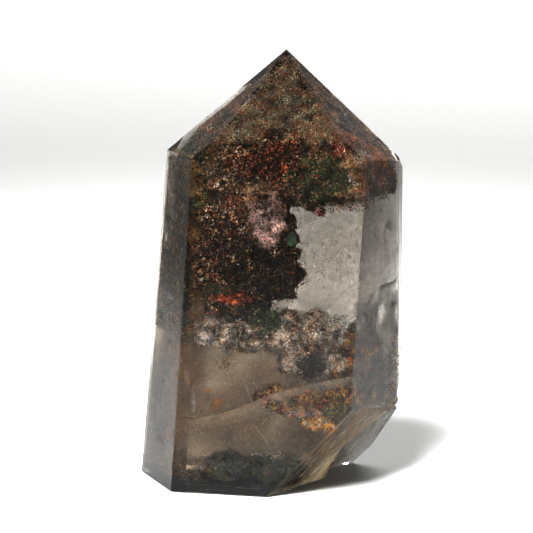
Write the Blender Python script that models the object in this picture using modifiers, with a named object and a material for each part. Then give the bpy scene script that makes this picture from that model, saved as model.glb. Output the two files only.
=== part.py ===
"""Chlorite quartz crystal.

One polished quartz point: six prism faces, a six-faced tip, a flat sawn base and a lower
corner that broke away. Masses of chlorite, limonite and pale grains grew sealed inside it.
The clear quartz is parted in a front and a back half, along a plane parallel to the front
face, and each sealed mass lies in a pocket that the two halves close around it.

Metres, +Z up. The origin is under the middle of the base. The front face looks along -Y.
The tables below are in millimetres, measured from the axis that passes through the tip.
"""
import math

import bmesh
import bpy
from mathutils import Matrix, Vector

MM = 0.001
HEIGHT = 80.0
PARTING_Y = -4.0
PARTING_GAP = 0.3
POCKET_CLEARANCE = 0.45

# Each facet: compass azimuth of its outward normal (0 is the front, -Y, and 90 is +X), the
# elevation of that normal, and its reach from the axis at a given height.
FACETS = {
    "base": (0.0, -90.0, 0.0, 0.0),
    "front": (0.0, 2.1, 12.9, 20.0),
    "left": (-60.4, 2.2, 20.7, 20.0),
    "right": (57.5, 1.1, 19.6, 20.0),
    "back_left": (-120.0, 2.4, 18.7, 20.0),
    "back_right": (120.0, 3.9, 21.7, 20.0),
    "back": (180.0, 1.5, 11.5, 20.0),
    "tip_front": (-2.0, 38.2, 0.0, HEIGHT),
    "tip_left": (-60.0, 45.0, 0.0, HEIGHT),
    "tip_right": (62.5, 45.9, 0.0, HEIGHT),
    "tip_back_left": (-120.0, 41.6, 0.0, HEIGHT),
    "tip_back_right": (120.0, 44.6, 0.0, HEIGHT),
    "tip_back": (180.0, 38.2, 0.0, HEIGHT),
    "right_shoulder": (88.0, 24.0, 21.6, 60.9),
    "front_right_chamfer": (28.7, 2.6, 18.0, 36.0),
    "broken_corner": (53.0, -33.9, 8.56, 0.0),
}

# The broken corner has a second, steeper flake scar, which starts at a step across it.
SCAR_FACET = (60.0, -39.2, 7.97, 0.0)
SCAR_STEP_TOP = Vector((13.6, -4.3, 7.3))
SCAR_STEP_FOOT = Vector((11.7, -1.4, 2.5))
SCAR_SIZE = 40.0
NOTCH_CENTRE = Vector((13.6, 5.2, 0.0))
NOTCH_SIZE = Vector((3.6, 10.0, 2.2))
NOTCH_TURN = -12.0

# Growth grooves along the broken corner, spread across it from the front face backwards.
GROOVE_START = Vector((0.7, -13.6, 0.0))
GROOVE_END = Vector((15.0, -13.0, 17.2))
GROOVE_FIRST = 1.9
GROOVE_SPACING = 1.7
GROOVE_BAR = 0.9
GROOVE_DEPTH = 0.24
GROOVE_LENGTHS = (15.0, 9.0, 13.0, 8.0, 11.0, 7.0)

# Chips along the right-hand corner edge: place, and radii across the edge and along it.
EDGE_CHIPS = (
    ((25.5, 1.8, 14.4), (2.7, 3.1, 1.7)),
    ((25.7, 1.7, 17.0), (2.6, 3.0, 1.9)),
    ((26.2, 1.9, 19.9), (2.6, 2.8, 1.9)),
    ((26.3, 1.7, 22.6), (2.3, 2.6, 1.6)),
    ((21.9, -0.4, 65.2), (2.6, 3.2, 2.9)),
)
CHIP_VOXEL = 0.45
CHIP_RELIEF = 0.35
CHIP_GRAIN = 1.1

# The phantom's cap repeats the tip inside the crystal, further in on its left side, where the
# quartz stays clear. Its lumps hang below the cap.
PHANTOM_INSET = 2.0
PHANTOM_LEFT_INSET = 3.6
PHANTOM_LEFT_FACETS = ("left", "back_left", "tip_left", "tip_back_left")
PHANTOM_CAP_FLOOR = 55.0
INCLUSIONS = {
    "chlorite_phantom": {
        "cap": True,
        "lumps": (
            ((-9.4, -4.2, 52.0), (7.4, 5.8, 6.0)),
            ((-10.2, -4.2, 44.5), (6.8, 5.8, 6.5)),
            ((-10.2, -4.2, 38.2), (6.6, 5.2, 4.6)),
            ((-2.4, -4.4, 47.5), (5.0, 5.2, 7.0)),
            ((-0.6, -4.4, 40.2), (5.0, 4.8, 4.6)),
            ((6.0, -4.2, 56.3), (7.4, 5.6, 3.6)),
        ),
        "voxel": 1.2,
        "relief": 1.0,
        "grain": 3.4,
        "keep": 0.2,
        "colour": (0.105, 0.088, 0.058),
    },
    "granular_veil": {
        "cap": False,
        "lumps": (
            ((-11.4, -5.2, 29.0), (5.0, 3.4, 2.7)),
            ((-4.4, -5.2, 28.6), (5.0, 3.2, 3.0)),
            ((2.4, -5.2, 28.8), (4.8, 3.0, 3.2)),
            ((8.0, -5.0, 28.8), (4.2, 3.0, 3.6)),
            ((5.8, -5.0, 24.6), (4.0, 2.6, 2.8)),
        ),
        "voxel": 0.8,
        "relief": 0.7,
        "grain": 2.2,
        "keep": 0.3,
        "colour": (0.30, 0.245, 0.20),
    },
    "limonite_pocket": {
        "cap": False,
        "lumps": (
            ((2.0, -5.0, 16.8), (3.8, 2.5, 1.8)),
            ((7.4, -5.0, 16.4), (4.4, 3.0, 2.7)),
            ((11.8, -4.8, 16.0), (3.8, 3.2, 3.4)),
            ((15.2, -4.4, 20.4), (3.2, 3.0, 4.4)),
            ((15.8, -4.4, 26.0), (2.6, 2.8, 4.4)),
        ),
        "voxel": 0.8,
        "relief": 0.7,
        "grain": 2.4,
        "keep": 0.3,
        "colour": (0.30, 0.165, 0.045),
    },
    "root_chlorite": {
        "cap": False,
        "lumps": (
            ((-7.2, -5.8, 3.7), (3.2, 3.2, 2.0)),
            ((-2.8, -5.4, 3.3), (3.0, 2.4, 1.4)),
            ((2.4, -5.8, 4.1), (3.8, 3.0, 2.1)),
        ),
        "voxel": 0.7,
        "relief": 0.5,
        "grain": 1.9,
        "keep": 0.3,
        "colour": (0.045, 0.055, 0.035),
    },
}

QUARTZ_COLOUR = (0.62, 0.60, 0.56)
QUARTZ_ROUGHNESS = 0.04
QUARTZ_IOR = 1.544
MINERAL_ROUGHNESS = 0.75
BLOCK_SIZE = 4 * HEIGHT
SPHERE_DETAIL = 2


def clear_scene():
    """Start from an empty scene."""
    for thing in list(bpy.data.objects):
        bpy.data.objects.remove(thing, do_unlink=True)


def new_collection(name):
    """A collection linked under the scene."""
    collection = bpy.data.collections.new(name)
    bpy.context.scene.collection.children.link(collection)
    return collection


def new_material(name, colour, roughness, transmission):
    """A Principled material of one colour."""
    material = bpy.data.materials.new(name)
    material.use_nodes = True
    shader = material.node_tree.nodes["Principled BSDF"]
    shader.inputs["Base Color"].default_value = (*colour, 1.0)
    shader.inputs["Roughness"].default_value = roughness
    shader.inputs["Metallic"].default_value = 0.0
    shader.inputs["IOR"].default_value = QUARTZ_IOR
    shader.inputs["Transmission Weight"].default_value = transmission
    return material


def facet_plane(azimuth, elevation, reach, height):
    """A point of a facet and its outward normal."""
    turn = math.radians(azimuth)
    rise = math.radians(elevation)
    outward = Vector((math.sin(turn), -math.cos(turn), 0.0))
    normal = outward * math.cos(rise) + Vector((0.0, 0.0, math.sin(rise)))
    return outward * reach + Vector((0.0, 0.0, height)), normal.normalized()


def cut_away(bm, point, normal):
    """Remove what lies outside a plane, and close the cut with one flat face."""
    geometry = bm.verts[:] + bm.edges[:] + bm.faces[:]
    cut = bmesh.ops.bisect_plane(
        bm, geom=geometry, plane_co=point, plane_no=normal, clear_outer=True)
    rim = [item for item in cut["geom_cut"] if isinstance(item, bmesh.types.BMEdge)]
    if rim:
        bmesh.ops.edgeloop_fill(bm, edges=rim)


def quartz_block(inset=0.0, left_inset=0.0):
    """The whole crystal as a block with every facet cut, or a smaller copy of it inside."""
    bm = bmesh.new()
    bmesh.ops.create_cube(bm, size=BLOCK_SIZE)
    for name, facet in FACETS.items():
        point, normal = facet_plane(*facet)
        depth = left_inset if name in PHANTOM_LEFT_FACETS else inset
        cut_away(bm, point - normal * depth, normal)
    bmesh.ops.recalc_face_normals(bm, faces=bm.faces[:])
    return bm


def middle_of(bm):
    """The middle of a shape's outline, seen from above."""
    across = [vert.co.x for vert in bm.verts]
    along = [vert.co.y for vert in bm.verts]
    return Vector(((min(across) + max(across)) / 2, (min(along) + max(along)) / 2, 0.0))


def add_box(bm, matrix, size):
    """A box with its middle at the matrix's origin."""
    shape = Matrix.Diagonal((*size, 1.0))
    bmesh.ops.create_cube(bm, size=1.0, matrix=matrix @ shape)


def add_lump(bm, place, radii):
    """An ellipsoid."""
    shape = Matrix.Translation(place) @ Matrix.Diagonal((*radii, 1.0))
    bmesh.ops.create_icosphere(bm, subdivisions=SPHERE_DETAIL, radius=1.0, matrix=shape)


def finish_object(name, bm, to_part, collection, material=None):
    """Turn a shape in millimetres into an object of the part."""
    bm.transform(to_part)
    mesh = bpy.data.meshes.new(name)
    bm.to_mesh(mesh)
    bm.free()
    thing = bpy.data.objects.new(name, mesh)
    collection.objects.link(thing)
    if material:
        mesh.materials.append(material)
    else:
        thing.hide_render = True
        thing.display_type = "WIRE"
    return thing


def add_boolean(thing, cutter, operation):
    """Cut an object with another, or keep only what they share."""
    modifier = thing.modifiers.new(cutter.name, "BOOLEAN")
    modifier.operation = operation
    modifier.solver = "EXACT"
    modifier.object = cutter


def add_relief(thing, voxel, relief, grain):
    """Fuse an object's lumps in one skin, and roughen it."""
    remesh = thing.modifiers.new("fuse", "REMESH")
    remesh.mode = "VOXEL"
    remesh.voxel_size = voxel * MM
    texture = bpy.data.textures.new(thing.name + "_grain", "CLOUDS")
    texture.noise_scale = grain * MM
    displace = thing.modifiers.new("roughen", "DISPLACE")
    displace.texture = texture
    displace.strength = relief * MM
    displace.mid_level = 0.5


def scar_cutter(to_part, collection):
    """The block that struck the flake scar off the broken corner."""
    point, normal = facet_plane(*SCAR_FACET)
    step = SCAR_STEP_FOOT - SCAR_STEP_TOP
    down = (step - normal * step.dot(normal)).normalized()
    aside = normal.cross(down)
    if aside.x < 0:
        aside = -aside
        down = -down
    turn = Matrix((down, aside, normal)).transposed().to_4x4()
    on_plane = SCAR_STEP_TOP - normal * (SCAR_STEP_TOP - point).dot(normal)
    middle = on_plane + (aside + normal) * SCAR_SIZE / 2
    bm = bmesh.new()
    add_box(bm, Matrix.Translation(middle) @ turn, Vector((2, 1, 1)) * SCAR_SIZE)
    return finish_object("scar_cutter", bm, to_part, collection)


def notch_cutter(to_part, collection):
    """The small ledge broken into the base under the scar."""
    place = Matrix.Translation(NOTCH_CENTRE) @ Matrix.Rotation(math.radians(NOTCH_TURN), 4, "Z")
    bm = bmesh.new()
    add_box(bm, place, NOTCH_SIZE)
    return finish_object("notch_cutter", bm, to_part, collection)


def groove_cutter(to_part, collection):
    """Bars that lie on the broken corner edge down, and press a groove each into it."""
    point, normal = facet_plane(*FACETS["broken_corner"])
    along = GROOVE_END - GROOVE_START
    along = (along - normal * along.dot(normal)).normalized()
    across = along.cross(normal)
    if across.y < 0:
        across = -across
    middle = (GROOVE_START + GROOVE_END) / 2
    middle = middle - normal * (middle - point).dot(normal)
    turn = Matrix((along, normal.cross(along), normal)).transposed().to_4x4()
    tilt = Matrix.Rotation(math.radians(45.0), 4, "X")
    lift = GROOVE_BAR / math.sqrt(2) - GROOVE_DEPTH
    bm = bmesh.new()
    for index, length in enumerate(GROOVE_LENGTHS):
        place = middle + across * (GROOVE_FIRST + index * GROOVE_SPACING) + normal * lift
        size = Vector((length, GROOVE_BAR, GROOVE_BAR))
        add_box(bm, Matrix.Translation(place) @ turn @ tilt, size)
    return finish_object("groove_cutter", bm, to_part, collection)


def chip_cutter(to_part, collection):
    """The chips out of the right-hand corner edge, as one rough body for each chip."""
    bm = bmesh.new()
    for place, radii in EDGE_CHIPS:
        add_lump(bm, place, radii)
    cutter = finish_object("chip_cutter", bm, to_part, collection)
    add_relief(cutter, CHIP_VOXEL, CHIP_RELIEF, CHIP_GRAIN)
    return cutter


def half_cutter(name, side, to_part, collection):
    """The space in front of the parting plane, or behind it."""
    inner_y = PARTING_Y + side * PARTING_GAP / 2
    middle = Vector((0.0, inner_y + side * BLOCK_SIZE / 2, HEIGHT / 2))
    bm = bmesh.new()
    add_box(bm, Matrix.Translation(middle), Vector((1, 1, 1)) * BLOCK_SIZE)
    return finish_object(name, bm, to_part, collection)


def phantom_cap(bm):
    """Add the tip's smaller copy, cut off flat below, to a shape."""
    cap = quartz_block(PHANTOM_INSET, PHANTOM_LEFT_INSET)
    cut_away(cap, Vector((0.0, 0.0, PHANTOM_CAP_FLOOR)), Vector((0.0, 0.0, -1.0)))
    mesh = bpy.data.meshes.new("cap")
    cap.to_mesh(mesh)
    cap.free()
    bm.from_mesh(mesh)
    bpy.data.meshes.remove(mesh)


def inclusion(name, form, to_part, collection):
    """One sealed mass: lumps fused in one rough skin."""
    bm = bmesh.new()
    if form["cap"]:
        phantom_cap(bm)
    for place, radii in form["lumps"]:
        add_lump(bm, place, radii)
    material = new_material(name, form["colour"], MINERAL_ROUGHNESS, 0.0)
    mass = finish_object(name, bm, to_part, collection, material)
    add_relief(mass, form["voxel"], form["relief"], form["grain"])
    thin = mass.modifiers.new("thin", "DECIMATE")
    thin.ratio = form["keep"]
    return mass


def pocket_cutter(mass, collection):
    """A copy of a sealed mass, larger all round by the clearance."""
    cutter = mass.copy()
    cutter.data = mass.data.copy()
    cutter.name = mass.name + "_pocket"
    cutter.data.materials.clear()
    cutter.hide_render = True
    cutter.display_type = "WIRE"
    collection.objects.link(cutter)
    swell = cutter.modifiers.new("clearance", "DISPLACE")
    swell.strength = POCKET_CLEARANCE * MM
    swell.mid_level = 0.0
    return cutter


def quartz_half(name, side, cutters, to_part, collections, material):
    """The front or the back half of the clear quartz."""
    parts, cutting = collections
    half = finish_object(name, quartz_block(), to_part, parts, material)
    add_boolean(half, half_cutter(name + "_space", side, to_part, cutting), "INTERSECT")
    for cutter in cutters:
        add_boolean(half, cutter, "DIFFERENCE")


def build_crystal():
    """Make every piece of the crystal."""
    parts = new_collection("chlorite_quartz_crystal")
    cutting = new_collection("cutters")
    block = quartz_block()
    to_part = Matrix.Scale(MM, 4) @ Matrix.Translation(-middle_of(block))
    block.free()
    masses = [inclusion(name, form, to_part, parts) for name, form in INCLUSIONS.items()]
    cutters = [pocket_cutter(mass, cutting) for mass in masses]
    cutters.append(scar_cutter(to_part, cutting))
    cutters.append(notch_cutter(to_part, cutting))
    cutters.append(groove_cutter(to_part, cutting))
    cutters.append(chip_cutter(to_part, cutting))
    quartz = new_material("clear_quartz", QUARTZ_COLOUR, QUARTZ_ROUGHNESS, 1.0)
    for name, side in (("crystal_front", -1), ("crystal_back", 1)):
        quartz_half(name, side, cutters, to_part, (parts, cutting), quartz)


clear_scene()
build_crystal()
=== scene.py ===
"""The look of the chlorite quartz crystal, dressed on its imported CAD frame.

Clear smoky quartz stands for the two CAD halves. Inside it, each sealed mineral mass of the CAD
is replaced by a finer one in the same place, coated with small grains, and thin veils, smoky
clouds, flakes and fractures lie between them. Tables are in millimetres, measured from the axis
through the tip, as in the part's own source.
"""
import math

import bmesh
import bpy
import numpy as np
from mathutils import Matrix, Vector


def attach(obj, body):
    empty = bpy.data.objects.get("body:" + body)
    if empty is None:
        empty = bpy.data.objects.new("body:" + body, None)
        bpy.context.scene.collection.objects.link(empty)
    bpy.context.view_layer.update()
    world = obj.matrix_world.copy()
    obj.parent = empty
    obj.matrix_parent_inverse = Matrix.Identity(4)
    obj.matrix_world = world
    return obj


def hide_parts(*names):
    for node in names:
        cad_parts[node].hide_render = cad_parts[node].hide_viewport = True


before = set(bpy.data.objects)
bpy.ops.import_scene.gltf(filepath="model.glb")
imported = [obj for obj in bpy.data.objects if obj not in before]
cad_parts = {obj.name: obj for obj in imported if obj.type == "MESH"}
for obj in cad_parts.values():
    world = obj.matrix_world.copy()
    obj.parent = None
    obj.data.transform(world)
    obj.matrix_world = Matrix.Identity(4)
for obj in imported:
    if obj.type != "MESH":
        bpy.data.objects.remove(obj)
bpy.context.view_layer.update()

MM = 0.001

# The crystal's shape, as in the CAD

HEIGHT = 80.0

# Each facet: azimuth of its outward normal (0 is the front, -Y, and 90 is +X), the elevation of
# that normal, and its reach from the axis at a given height.
FACETS = {
    "base": (0.0, -90.0, 0.0, 0.0),
    "front": (0.0, 2.1, 12.9, 20.0),
    "left": (-60.4, 2.2, 20.7, 20.0),
    "right": (57.5, 1.1, 19.6, 20.0),
    "back_left": (-120.0, 2.4, 18.7, 20.0),
    "back_right": (120.0, 3.9, 21.7, 20.0),
    "back": (180.0, 1.5, 11.5, 20.0),
    "tip_front": (-2.0, 38.2, 0.0, HEIGHT),
    "tip_left": (-60.0, 45.0, 0.0, HEIGHT),
    "tip_right": (62.5, 45.9, 0.0, HEIGHT),
    "tip_back_left": (-120.0, 41.6, 0.0, HEIGHT),
    "tip_back_right": (120.0, 44.6, 0.0, HEIGHT),
    "tip_back": (180.0, 38.2, 0.0, HEIGHT),
    "right_shoulder": (88.0, 24.0, 21.6, 60.9),
    "front_right_chamfer": (28.7, 2.6, 18.0, 36.0),
    "broken_corner": (53.0, -33.9, 8.56, 0.0),
}
SCAR_FACET = (60.0, -39.2, 7.97, 0.0)
SCAR_STEP_TOP = Vector((13.6, -4.3, 7.3))
SCAR_STEP_FOOT = Vector((11.7, -1.4, 2.5))
SCAR_SIZE = 40.0
NOTCH_CENTRE = Vector((13.6, 5.2, 0.0))
NOTCH_SIZE = Vector((3.6, 10.0, 2.2))
NOTCH_TURN = -12.0
GROOVE_START = Vector((0.7, -13.6, 0.0))
GROOVE_END = Vector((15.0, -13.0, 17.2))
GROOVE_FIRST = 1.9
GROOVE_SPACING = 1.7
GROOVE_BAR = 0.9
GROOVE_DEPTH = 0.24
GROOVE_TILT = 45.0
GROOVE_LENGTHS = (15.0, 9.0, 13.0, 8.0, 11.0, 7.0)
EDGE_CHIPS = (
    ((25.5, 1.8, 14.4), (2.7, 3.1, 1.7)),
    ((25.7, 1.7, 17.0), (2.6, 3.0, 1.9)),
    ((26.2, 1.9, 19.9), (2.6, 2.8, 1.9)),
    ((26.3, 1.7, 22.6), (2.3, 2.6, 1.6)),
    ((21.9, -0.4, 65.2), (2.6, 3.2, 2.9)),
)
CHIP_VOXEL = 0.3
CHIP_RELIEF = 0.35
CHIP_GRAIN = 1.1
BLOCK_SIZE = 4 * HEIGHT
SPHERE_DETAIL = 3

# Polished edges: how far each bevel reaches, finer where the edges meet at the tip
EDGE_BEVEL = 0.22
TIP_BEVEL = 0.10
BEVEL_STEPS = 2

# The sealed masses, as in the CAD: the cap's insets, and each mass's lumps

PHANTOM_INSET = 2.0
PHANTOM_LEFT_INSET = 3.6
PHANTOM_LEFT_FACETS = ("left", "back_left", "tip_left", "tip_back_left")
PHANTOM_CAP_FLOOR = 55.0
PHANTOM_LUMPS = (
    ((-9.4, -4.2, 52.0), (7.4, 5.8, 6.0)),
    ((-10.2, -4.2, 44.5), (6.8, 5.8, 6.5)),
    ((-10.2, -4.2, 38.2), (6.6, 5.2, 4.6)),
    ((-2.4, -4.4, 47.5), (5.0, 5.2, 7.0)),
    ((-0.6, -4.4, 40.2), (5.0, 4.8, 4.6)),
    ((6.0, -4.2, 56.3), (7.4, 5.6, 3.6)),
)
VEIL_LUMPS = (
    ((-11.4, -5.2, 29.0), (5.0, 3.4, 2.7)),
    ((-4.4, -5.2, 28.6), (5.0, 3.2, 3.0)),
    ((2.4, -5.2, 28.8), (4.8, 3.0, 3.2)),
    ((8.0, -5.0, 28.8), (4.2, 3.0, 3.6)),
    ((5.8, -5.0, 24.6), (4.0, 2.6, 2.8)),
)
LIMONITE_LUMPS = (
    ((2.0, -5.0, 16.8), (3.8, 2.5, 1.8)),
    ((7.4, -5.0, 16.4), (4.4, 3.0, 2.7)),
    ((11.8, -4.8, 16.0), (3.8, 3.2, 3.4)),
    ((15.2, -4.4, 20.4), (3.2, 3.0, 4.4)),
    ((15.8, -4.4, 26.0), (2.6, 2.8, 4.4)),
)
ROOT_LUMPS = (
    ((-7.2, -5.8, 3.7), (3.2, 3.2, 2.0)),
    ((-2.8, -5.4, 3.3), (3.0, 2.4, 1.4)),
    ((2.4, -5.8, 4.1), (3.8, 3.0, 2.1)),
)
MASS_VOXEL = 0.36
RAGGED_COUNT = 60
RAGGED_RADII = (0.5, 1.5)
RAGGED_SPREAD = (0.85, 1.12)
RAGGED_SQUASH = 0.8
RAGGED_MARGIN = 0.7
RAGGED_DETAIL = 2
PEBBLE_RELIEF = 0.42
PEBBLE_GRAIN = 0.75

# The quartz's skin. The left and right faces are tinted darker than the rest: painted shade, for the
# darker surroundings that they show.
QUARTZ_IOR = 1.544
POLISH = 0.012
CLEAR = (1.0, 1.0, 1.0)
HEALED_TINT = (1.0, 0.74, 0.42)
HEALED_ROUGHNESS = (0.2, 0.6)
SCAR_TINT = (0.24, 0.22, 0.19)
SCAR_ROUGHNESS = (0.1, 0.4)
STREAK_STRETCH = 9.0
STREAK_SCALE = 1500.0
STREAK_DETAIL = 4.0
STREAK_BUMP = 0.8
STREAK_HEIGHT = 0.35
SAME_WAY = 0.995
FLAT_FACE = 0.9
SHADED_SIDE_TINTS = {"left": (0.34, 0.31, 0.26), "right": (0.32, 0.31, 0.29)}

# The quartz's faint smoky tint, and the smoky zones in it: middle, radii, tint and density
QUARTZ_TINT = (0.567, 0.517, 0.45)
QUARTZ_DENSITY = 80.0
SMOKE_INSET = 0.9
SMOKE_DETAIL = 5
SMOKE_ZONES = {
    "brown_smoke": ((-3.0, 0.0, 9.0), (24.0, 11.0, 25.0), (0.64, 0.50, 0.30), 42.0),
    "base_smoke": ((-4.0, -4.0, -3.0), (24.0, 9.0, 10.0), (0.68, 0.54, 0.34), 50.0),
    # A grey absorbing zone along the right face, there to darken it: painted shade.
    "right_shade_smoke": ((24.8, -4.0, 42.0), (6.4, 8.0, 30.0), (0.42, 0.40, 0.38), 90.0),
    "corner_smoke": ((24.4, -3.6, 21.0), (7.0, 8.4, 17.0), (0.50, 0.42, 0.32), 420.0),
    "left_smoke": ((-24.8, -4.6, 30.0), (6.4, 8.0, 44.0), (0.50, 0.42, 0.30), 300.0),
    "left_low_smoke": ((-25.0, -4.6, 8.0), (7.6, 8.4, 26.0), (0.56, 0.43, 0.27), 450.0),
    "window_smoke": ((8.0, 3.0, 43.0), (13.0, 7.0, 14.0), (0.42, 0.41, 0.40), 60.0),
    "tip_smoke": ((0.0, -1.0, 66.0), (22.0, 12.0, 13.0), (0.52, 0.46, 0.36), 35.0),
    "apex_smoke": ((0.0, -1.0, 80.0), (11.0, 8.0, 14.0), (0.50, 0.42, 0.34), 200.0),
}

# Grains: the room that each keeps to the crystal's facets, how flat it may be, how its corners are
# dented, how small most are, the width of a blocky one, and how patchy their colours are
GRAIN_MARGIN = 0.35
GRAIN_SQUASH = 0.5
GRAIN_DENTS = (0.72, 1.12)
GRAIN_BIAS = 1.8
BLOCK_WIDTH = 1.5
GRAIN_PATCH = 1.5
GRAIN_STRAY = 0.5

# The brightest that a mineral's own colour may be
BRIGHTEST = 0.92

# How the minerals' colours vary: spans of noise, and for each mottle its features to the metre
# and its darkest and lightest shade
GRAIN_ROUGHNESS = 0.5
MASS_ROUGHNESS = 0.8
NOISE_SPAN = (0.35, 0.65)
PATCH_SPAN = (0.34, 0.66)
PATCH_DETAIL = 2.0
MOTTLE_DETAIL = 3.0
GRAIN_SHADE = (2500.0, 0.6, 1.2)
MASS_SHADE = (2600.0, 0.5, 1.3)
FLAKE_SHADE = (900.0, 0.5, 1.25)
CELL_SHADES = (0.35, 1.5)
ACCENT_SPAN = (0.5, 1.0)


def srgb(red, green, blue, gain=1.0):
    """A colour read as screen values from 0 to 255, made linear."""
    channels = [channel / 255 for channel in (red, green, blue)]
    linear = [
        value / 12.92 if value <= 0.04045 else ((value + 0.055) / 1.055) ** 2.4
        for value in channels]
    return tuple(min(BRIGHTEST, value * gain) for value in linear)


# The colour layer that holds a mass's ground colours
TINT = "tint"

# Grains look darker inside the quartz than in air, so their own colours are lighter
MINERAL_GAIN = 2.8


def mineral(red, green, blue):
    """A mineral's own colour, from the colour that it shows inside the quartz."""
    return srgb(red, green, blue, MINERAL_GAIN)


RUST = mineral(124, 60, 32)
ORANGE_RUST = mineral(152, 88, 48)
DARK_RED = mineral(84, 34, 24)
BLACK_RED = mineral(22, 10, 7)
BROWN = mineral(98, 76, 56)
DARK_BROWN = mineral(46, 34, 23)
CREAM = mineral(190, 172, 148)
PINK = mineral(172, 142, 128)
PALE_PINK = mineral(205, 176, 166)
MAUVE = mineral(130, 110, 106)
PALE_MAUVE = mineral(172, 152, 148)
GREY = mineral(126, 118, 108)
PALE_GREY = mineral(176, 172, 166)
BLACK_GREEN = mineral(18, 15, 8)
DARK_GREEN = mineral(36, 46, 24)
MOSS_GREEN = mineral(68, 80, 50)
TEAL_GREEN = mineral(42, 64, 44)
SLATE = mineral(74, 72, 70)
UMBER = mineral(36, 27, 19)
TAN = mineral(140, 116, 88)
KHAKI = mineral(118, 112, 82)
GREY_GREEN = mineral(92, 100, 82)
PALE_GREEN = mineral(146, 148, 118)
OLIVE_YELLOW = mineral(104, 92, 40)
OCHRE = mineral(136, 100, 46)
GOLD = mineral(160, 114, 38)
BRIGHT_ORANGE = mineral(172, 84, 44)
BRICK = mineral(134, 72, 54)
PALE_BLUE = mineral(150, 162, 168)
# Near-white grains that stand for glints of light on the minerals: a painted highlight.
PAINTED_GLINT = mineral(226, 222, 216)
FLAKE_OCHRE = srgb(158, 104, 38)

# Where on the phantom each sort of mineral lies, seen from the front. Each zone: middle and half
# extent to the right and up, its ground colour, the grains' radii, and their colours from dark to
# light. The first zone that holds a grain takes it.
PHANTOM_ZONES = {
    "mauve_patch": ((-1.7, 49.8), (2.7, 4.0), MAUVE, (0.10, 0.26),
        (DARK_RED, MAUVE, GREY, MAUVE, PINK, PALE_MAUVE, PALE_PINK)),
    "mauve_crest": ((-3.4, 54.2), (2.4, 2.2), BROWN, (0.10, 0.26),
        (DARK_RED, BROWN, TAN, MAUVE, PINK, MAUVE)),
    "dark_wedge": ((2.7, 51.6), (1.8, 4.2), DARK_BROWN, (0.12, 0.28),
        (BLACK_GREEN, DARK_BROWN, BLACK_GREEN, BROWN, GREY_GREEN)),
    "green_cloud": ((7.2, 57.8), (4.4, 4.2), DARK_GREEN, (0.10, 0.28),
        (BLACK_GREEN, BLACK_GREEN, DARK_GREEN, BLACK_GREEN, TEAL_GREEN, BROWN, TEAL_GREEN,
        OCHRE)),
    "brick_cluster": ((10.4, 63.0), (1.7, 1.4), DARK_RED, (0.14, 0.34),
        (DARK_RED, BRICK, BROWN, PINK, PALE_PINK)),
    "slate_side": ((16.5, 70.0), (7.5, 6.8), SLATE, (0.08, 0.16),
        (SLATE, SLATE, DARK_BROWN, SLATE, GREY)),
    "rust_heart": ((-0.7, 61.0), (5.4, 4.0), BLACK_RED, (0.14, 0.40),
        (BLACK_RED, BLACK_RED, BLACK_RED, DARK_RED, BLACK_RED, RUST, DARK_RED, ORANGE_RUST,
        BRIGHT_ORANGE, TAN)),
    "pink_brown": ((-8.4, 59.5), (3.9, 5.2), DARK_BROWN, (0.14, 0.36),
        (BLACK_RED, DARK_BROWN, RUST, BROWN, TAN, PINK, GREY, PALE_PINK)),
    "grey_green_corner": ((-14.2, 57.8), (3.0, 5.6), DARK_GREEN, (0.10, 0.24),
        (BLACK_GREEN, DARK_GREEN, DARK_GREEN, GREY_GREEN, MOSS_GREEN, GREY_GREEN,
        PALE_GREEN)),
    "right_granular": ((14.4, 58.6), (4.6, 6.4), BROWN, (0.14, 0.36),
        (BLACK_GREEN, DARK_BROWN, BROWN, RUST, KHAKI, DARK_BROWN, PALE_GREY, CREAM,
        PAINTED_GLINT)),
    "orange_shelf": ((-7.1, 54.2), (4.8, 2.3), DARK_BROWN, (0.14, 0.34),
        (DARK_RED, RUST, BROWN, ORANGE_RUST, TAN, PINK, ORANGE_RUST, CREAM)),
    "rust_lens": ((-7.4, 35.4), (3.3, 0.9), DARK_RED, (0.20, 0.50),
        (DARK_RED, BRICK, RUST, BRIGHT_ORANGE, BRICK)),
    "black_green_heart": ((-1.6, 41.2), (6.4, 6.2), BLACK_GREEN, (0.12, 0.34),
        (BLACK_GREEN, BLACK_GREEN, UMBER, BLACK_GREEN, DARK_GREEN, BLACK_GREEN,
        DARK_BROWN, OLIVE_YELLOW, RUST, CREAM)),
    "left_green": ((-10.6, 36.4), (2.9, 1.5), DARK_GREEN, (0.10, 0.26),
        (BLACK_GREEN, DARK_GREEN, DARK_GREEN, MOSS_GREEN)),
    "low_green": ((-2.6, 32.8), (4.0, 3.0), BLACK_GREEN, (0.10, 0.28),
        (BLACK_GREEN, DARK_GREEN, BLACK_GREEN, DARK_GREEN, MOSS_GREEN, KHAKI)),
    "pink_grains": ((-11.0, 44.3), (6.8, 8.8), BLACK_RED, (0.14, 0.42),
        (BLACK_RED, BLACK_GREEN, DARK_BROWN, BROWN, BLACK_RED, RUST, TAN, KHAKI, PINK,
        CREAM, PALE_PINK)),
    "mixed_garden": ((0.0, 46.0), (30.0, 17.5), DARK_BROWN, (0.12, 0.36),
        (BLACK_GREEN, DARK_BROWN, UMBER, RUST, DARK_GREEN, BROWN, TAN, GREY)),
    "apex": ((0.0, 80.0), (8.0, 8.0), DARK_BROWN, (0.10, 0.22),
        (UMBER, BROWN, DARK_BROWN, RUST, TAN)),
    "tip_specks": ((0.0, 70.0), (30.0, 30.0), BROWN, (0.14, 0.34),
        (BLACK_RED, BROWN, TAN, MOSS_GREEN, RUST, BROWN, KHAKI, GREY, PALE_GREEN, CREAM)),
}
ZONE_EDGE = 0.30
GARDEN_PATCHES = (1.9, 0.42)
ZONE_SCATTER = 0.28
PATCH_STRETCH = 0.6
PATCH_REACH = 0.4
LAST_PATCH = 0.999
WAVE_PHASE = 7.0
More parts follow.
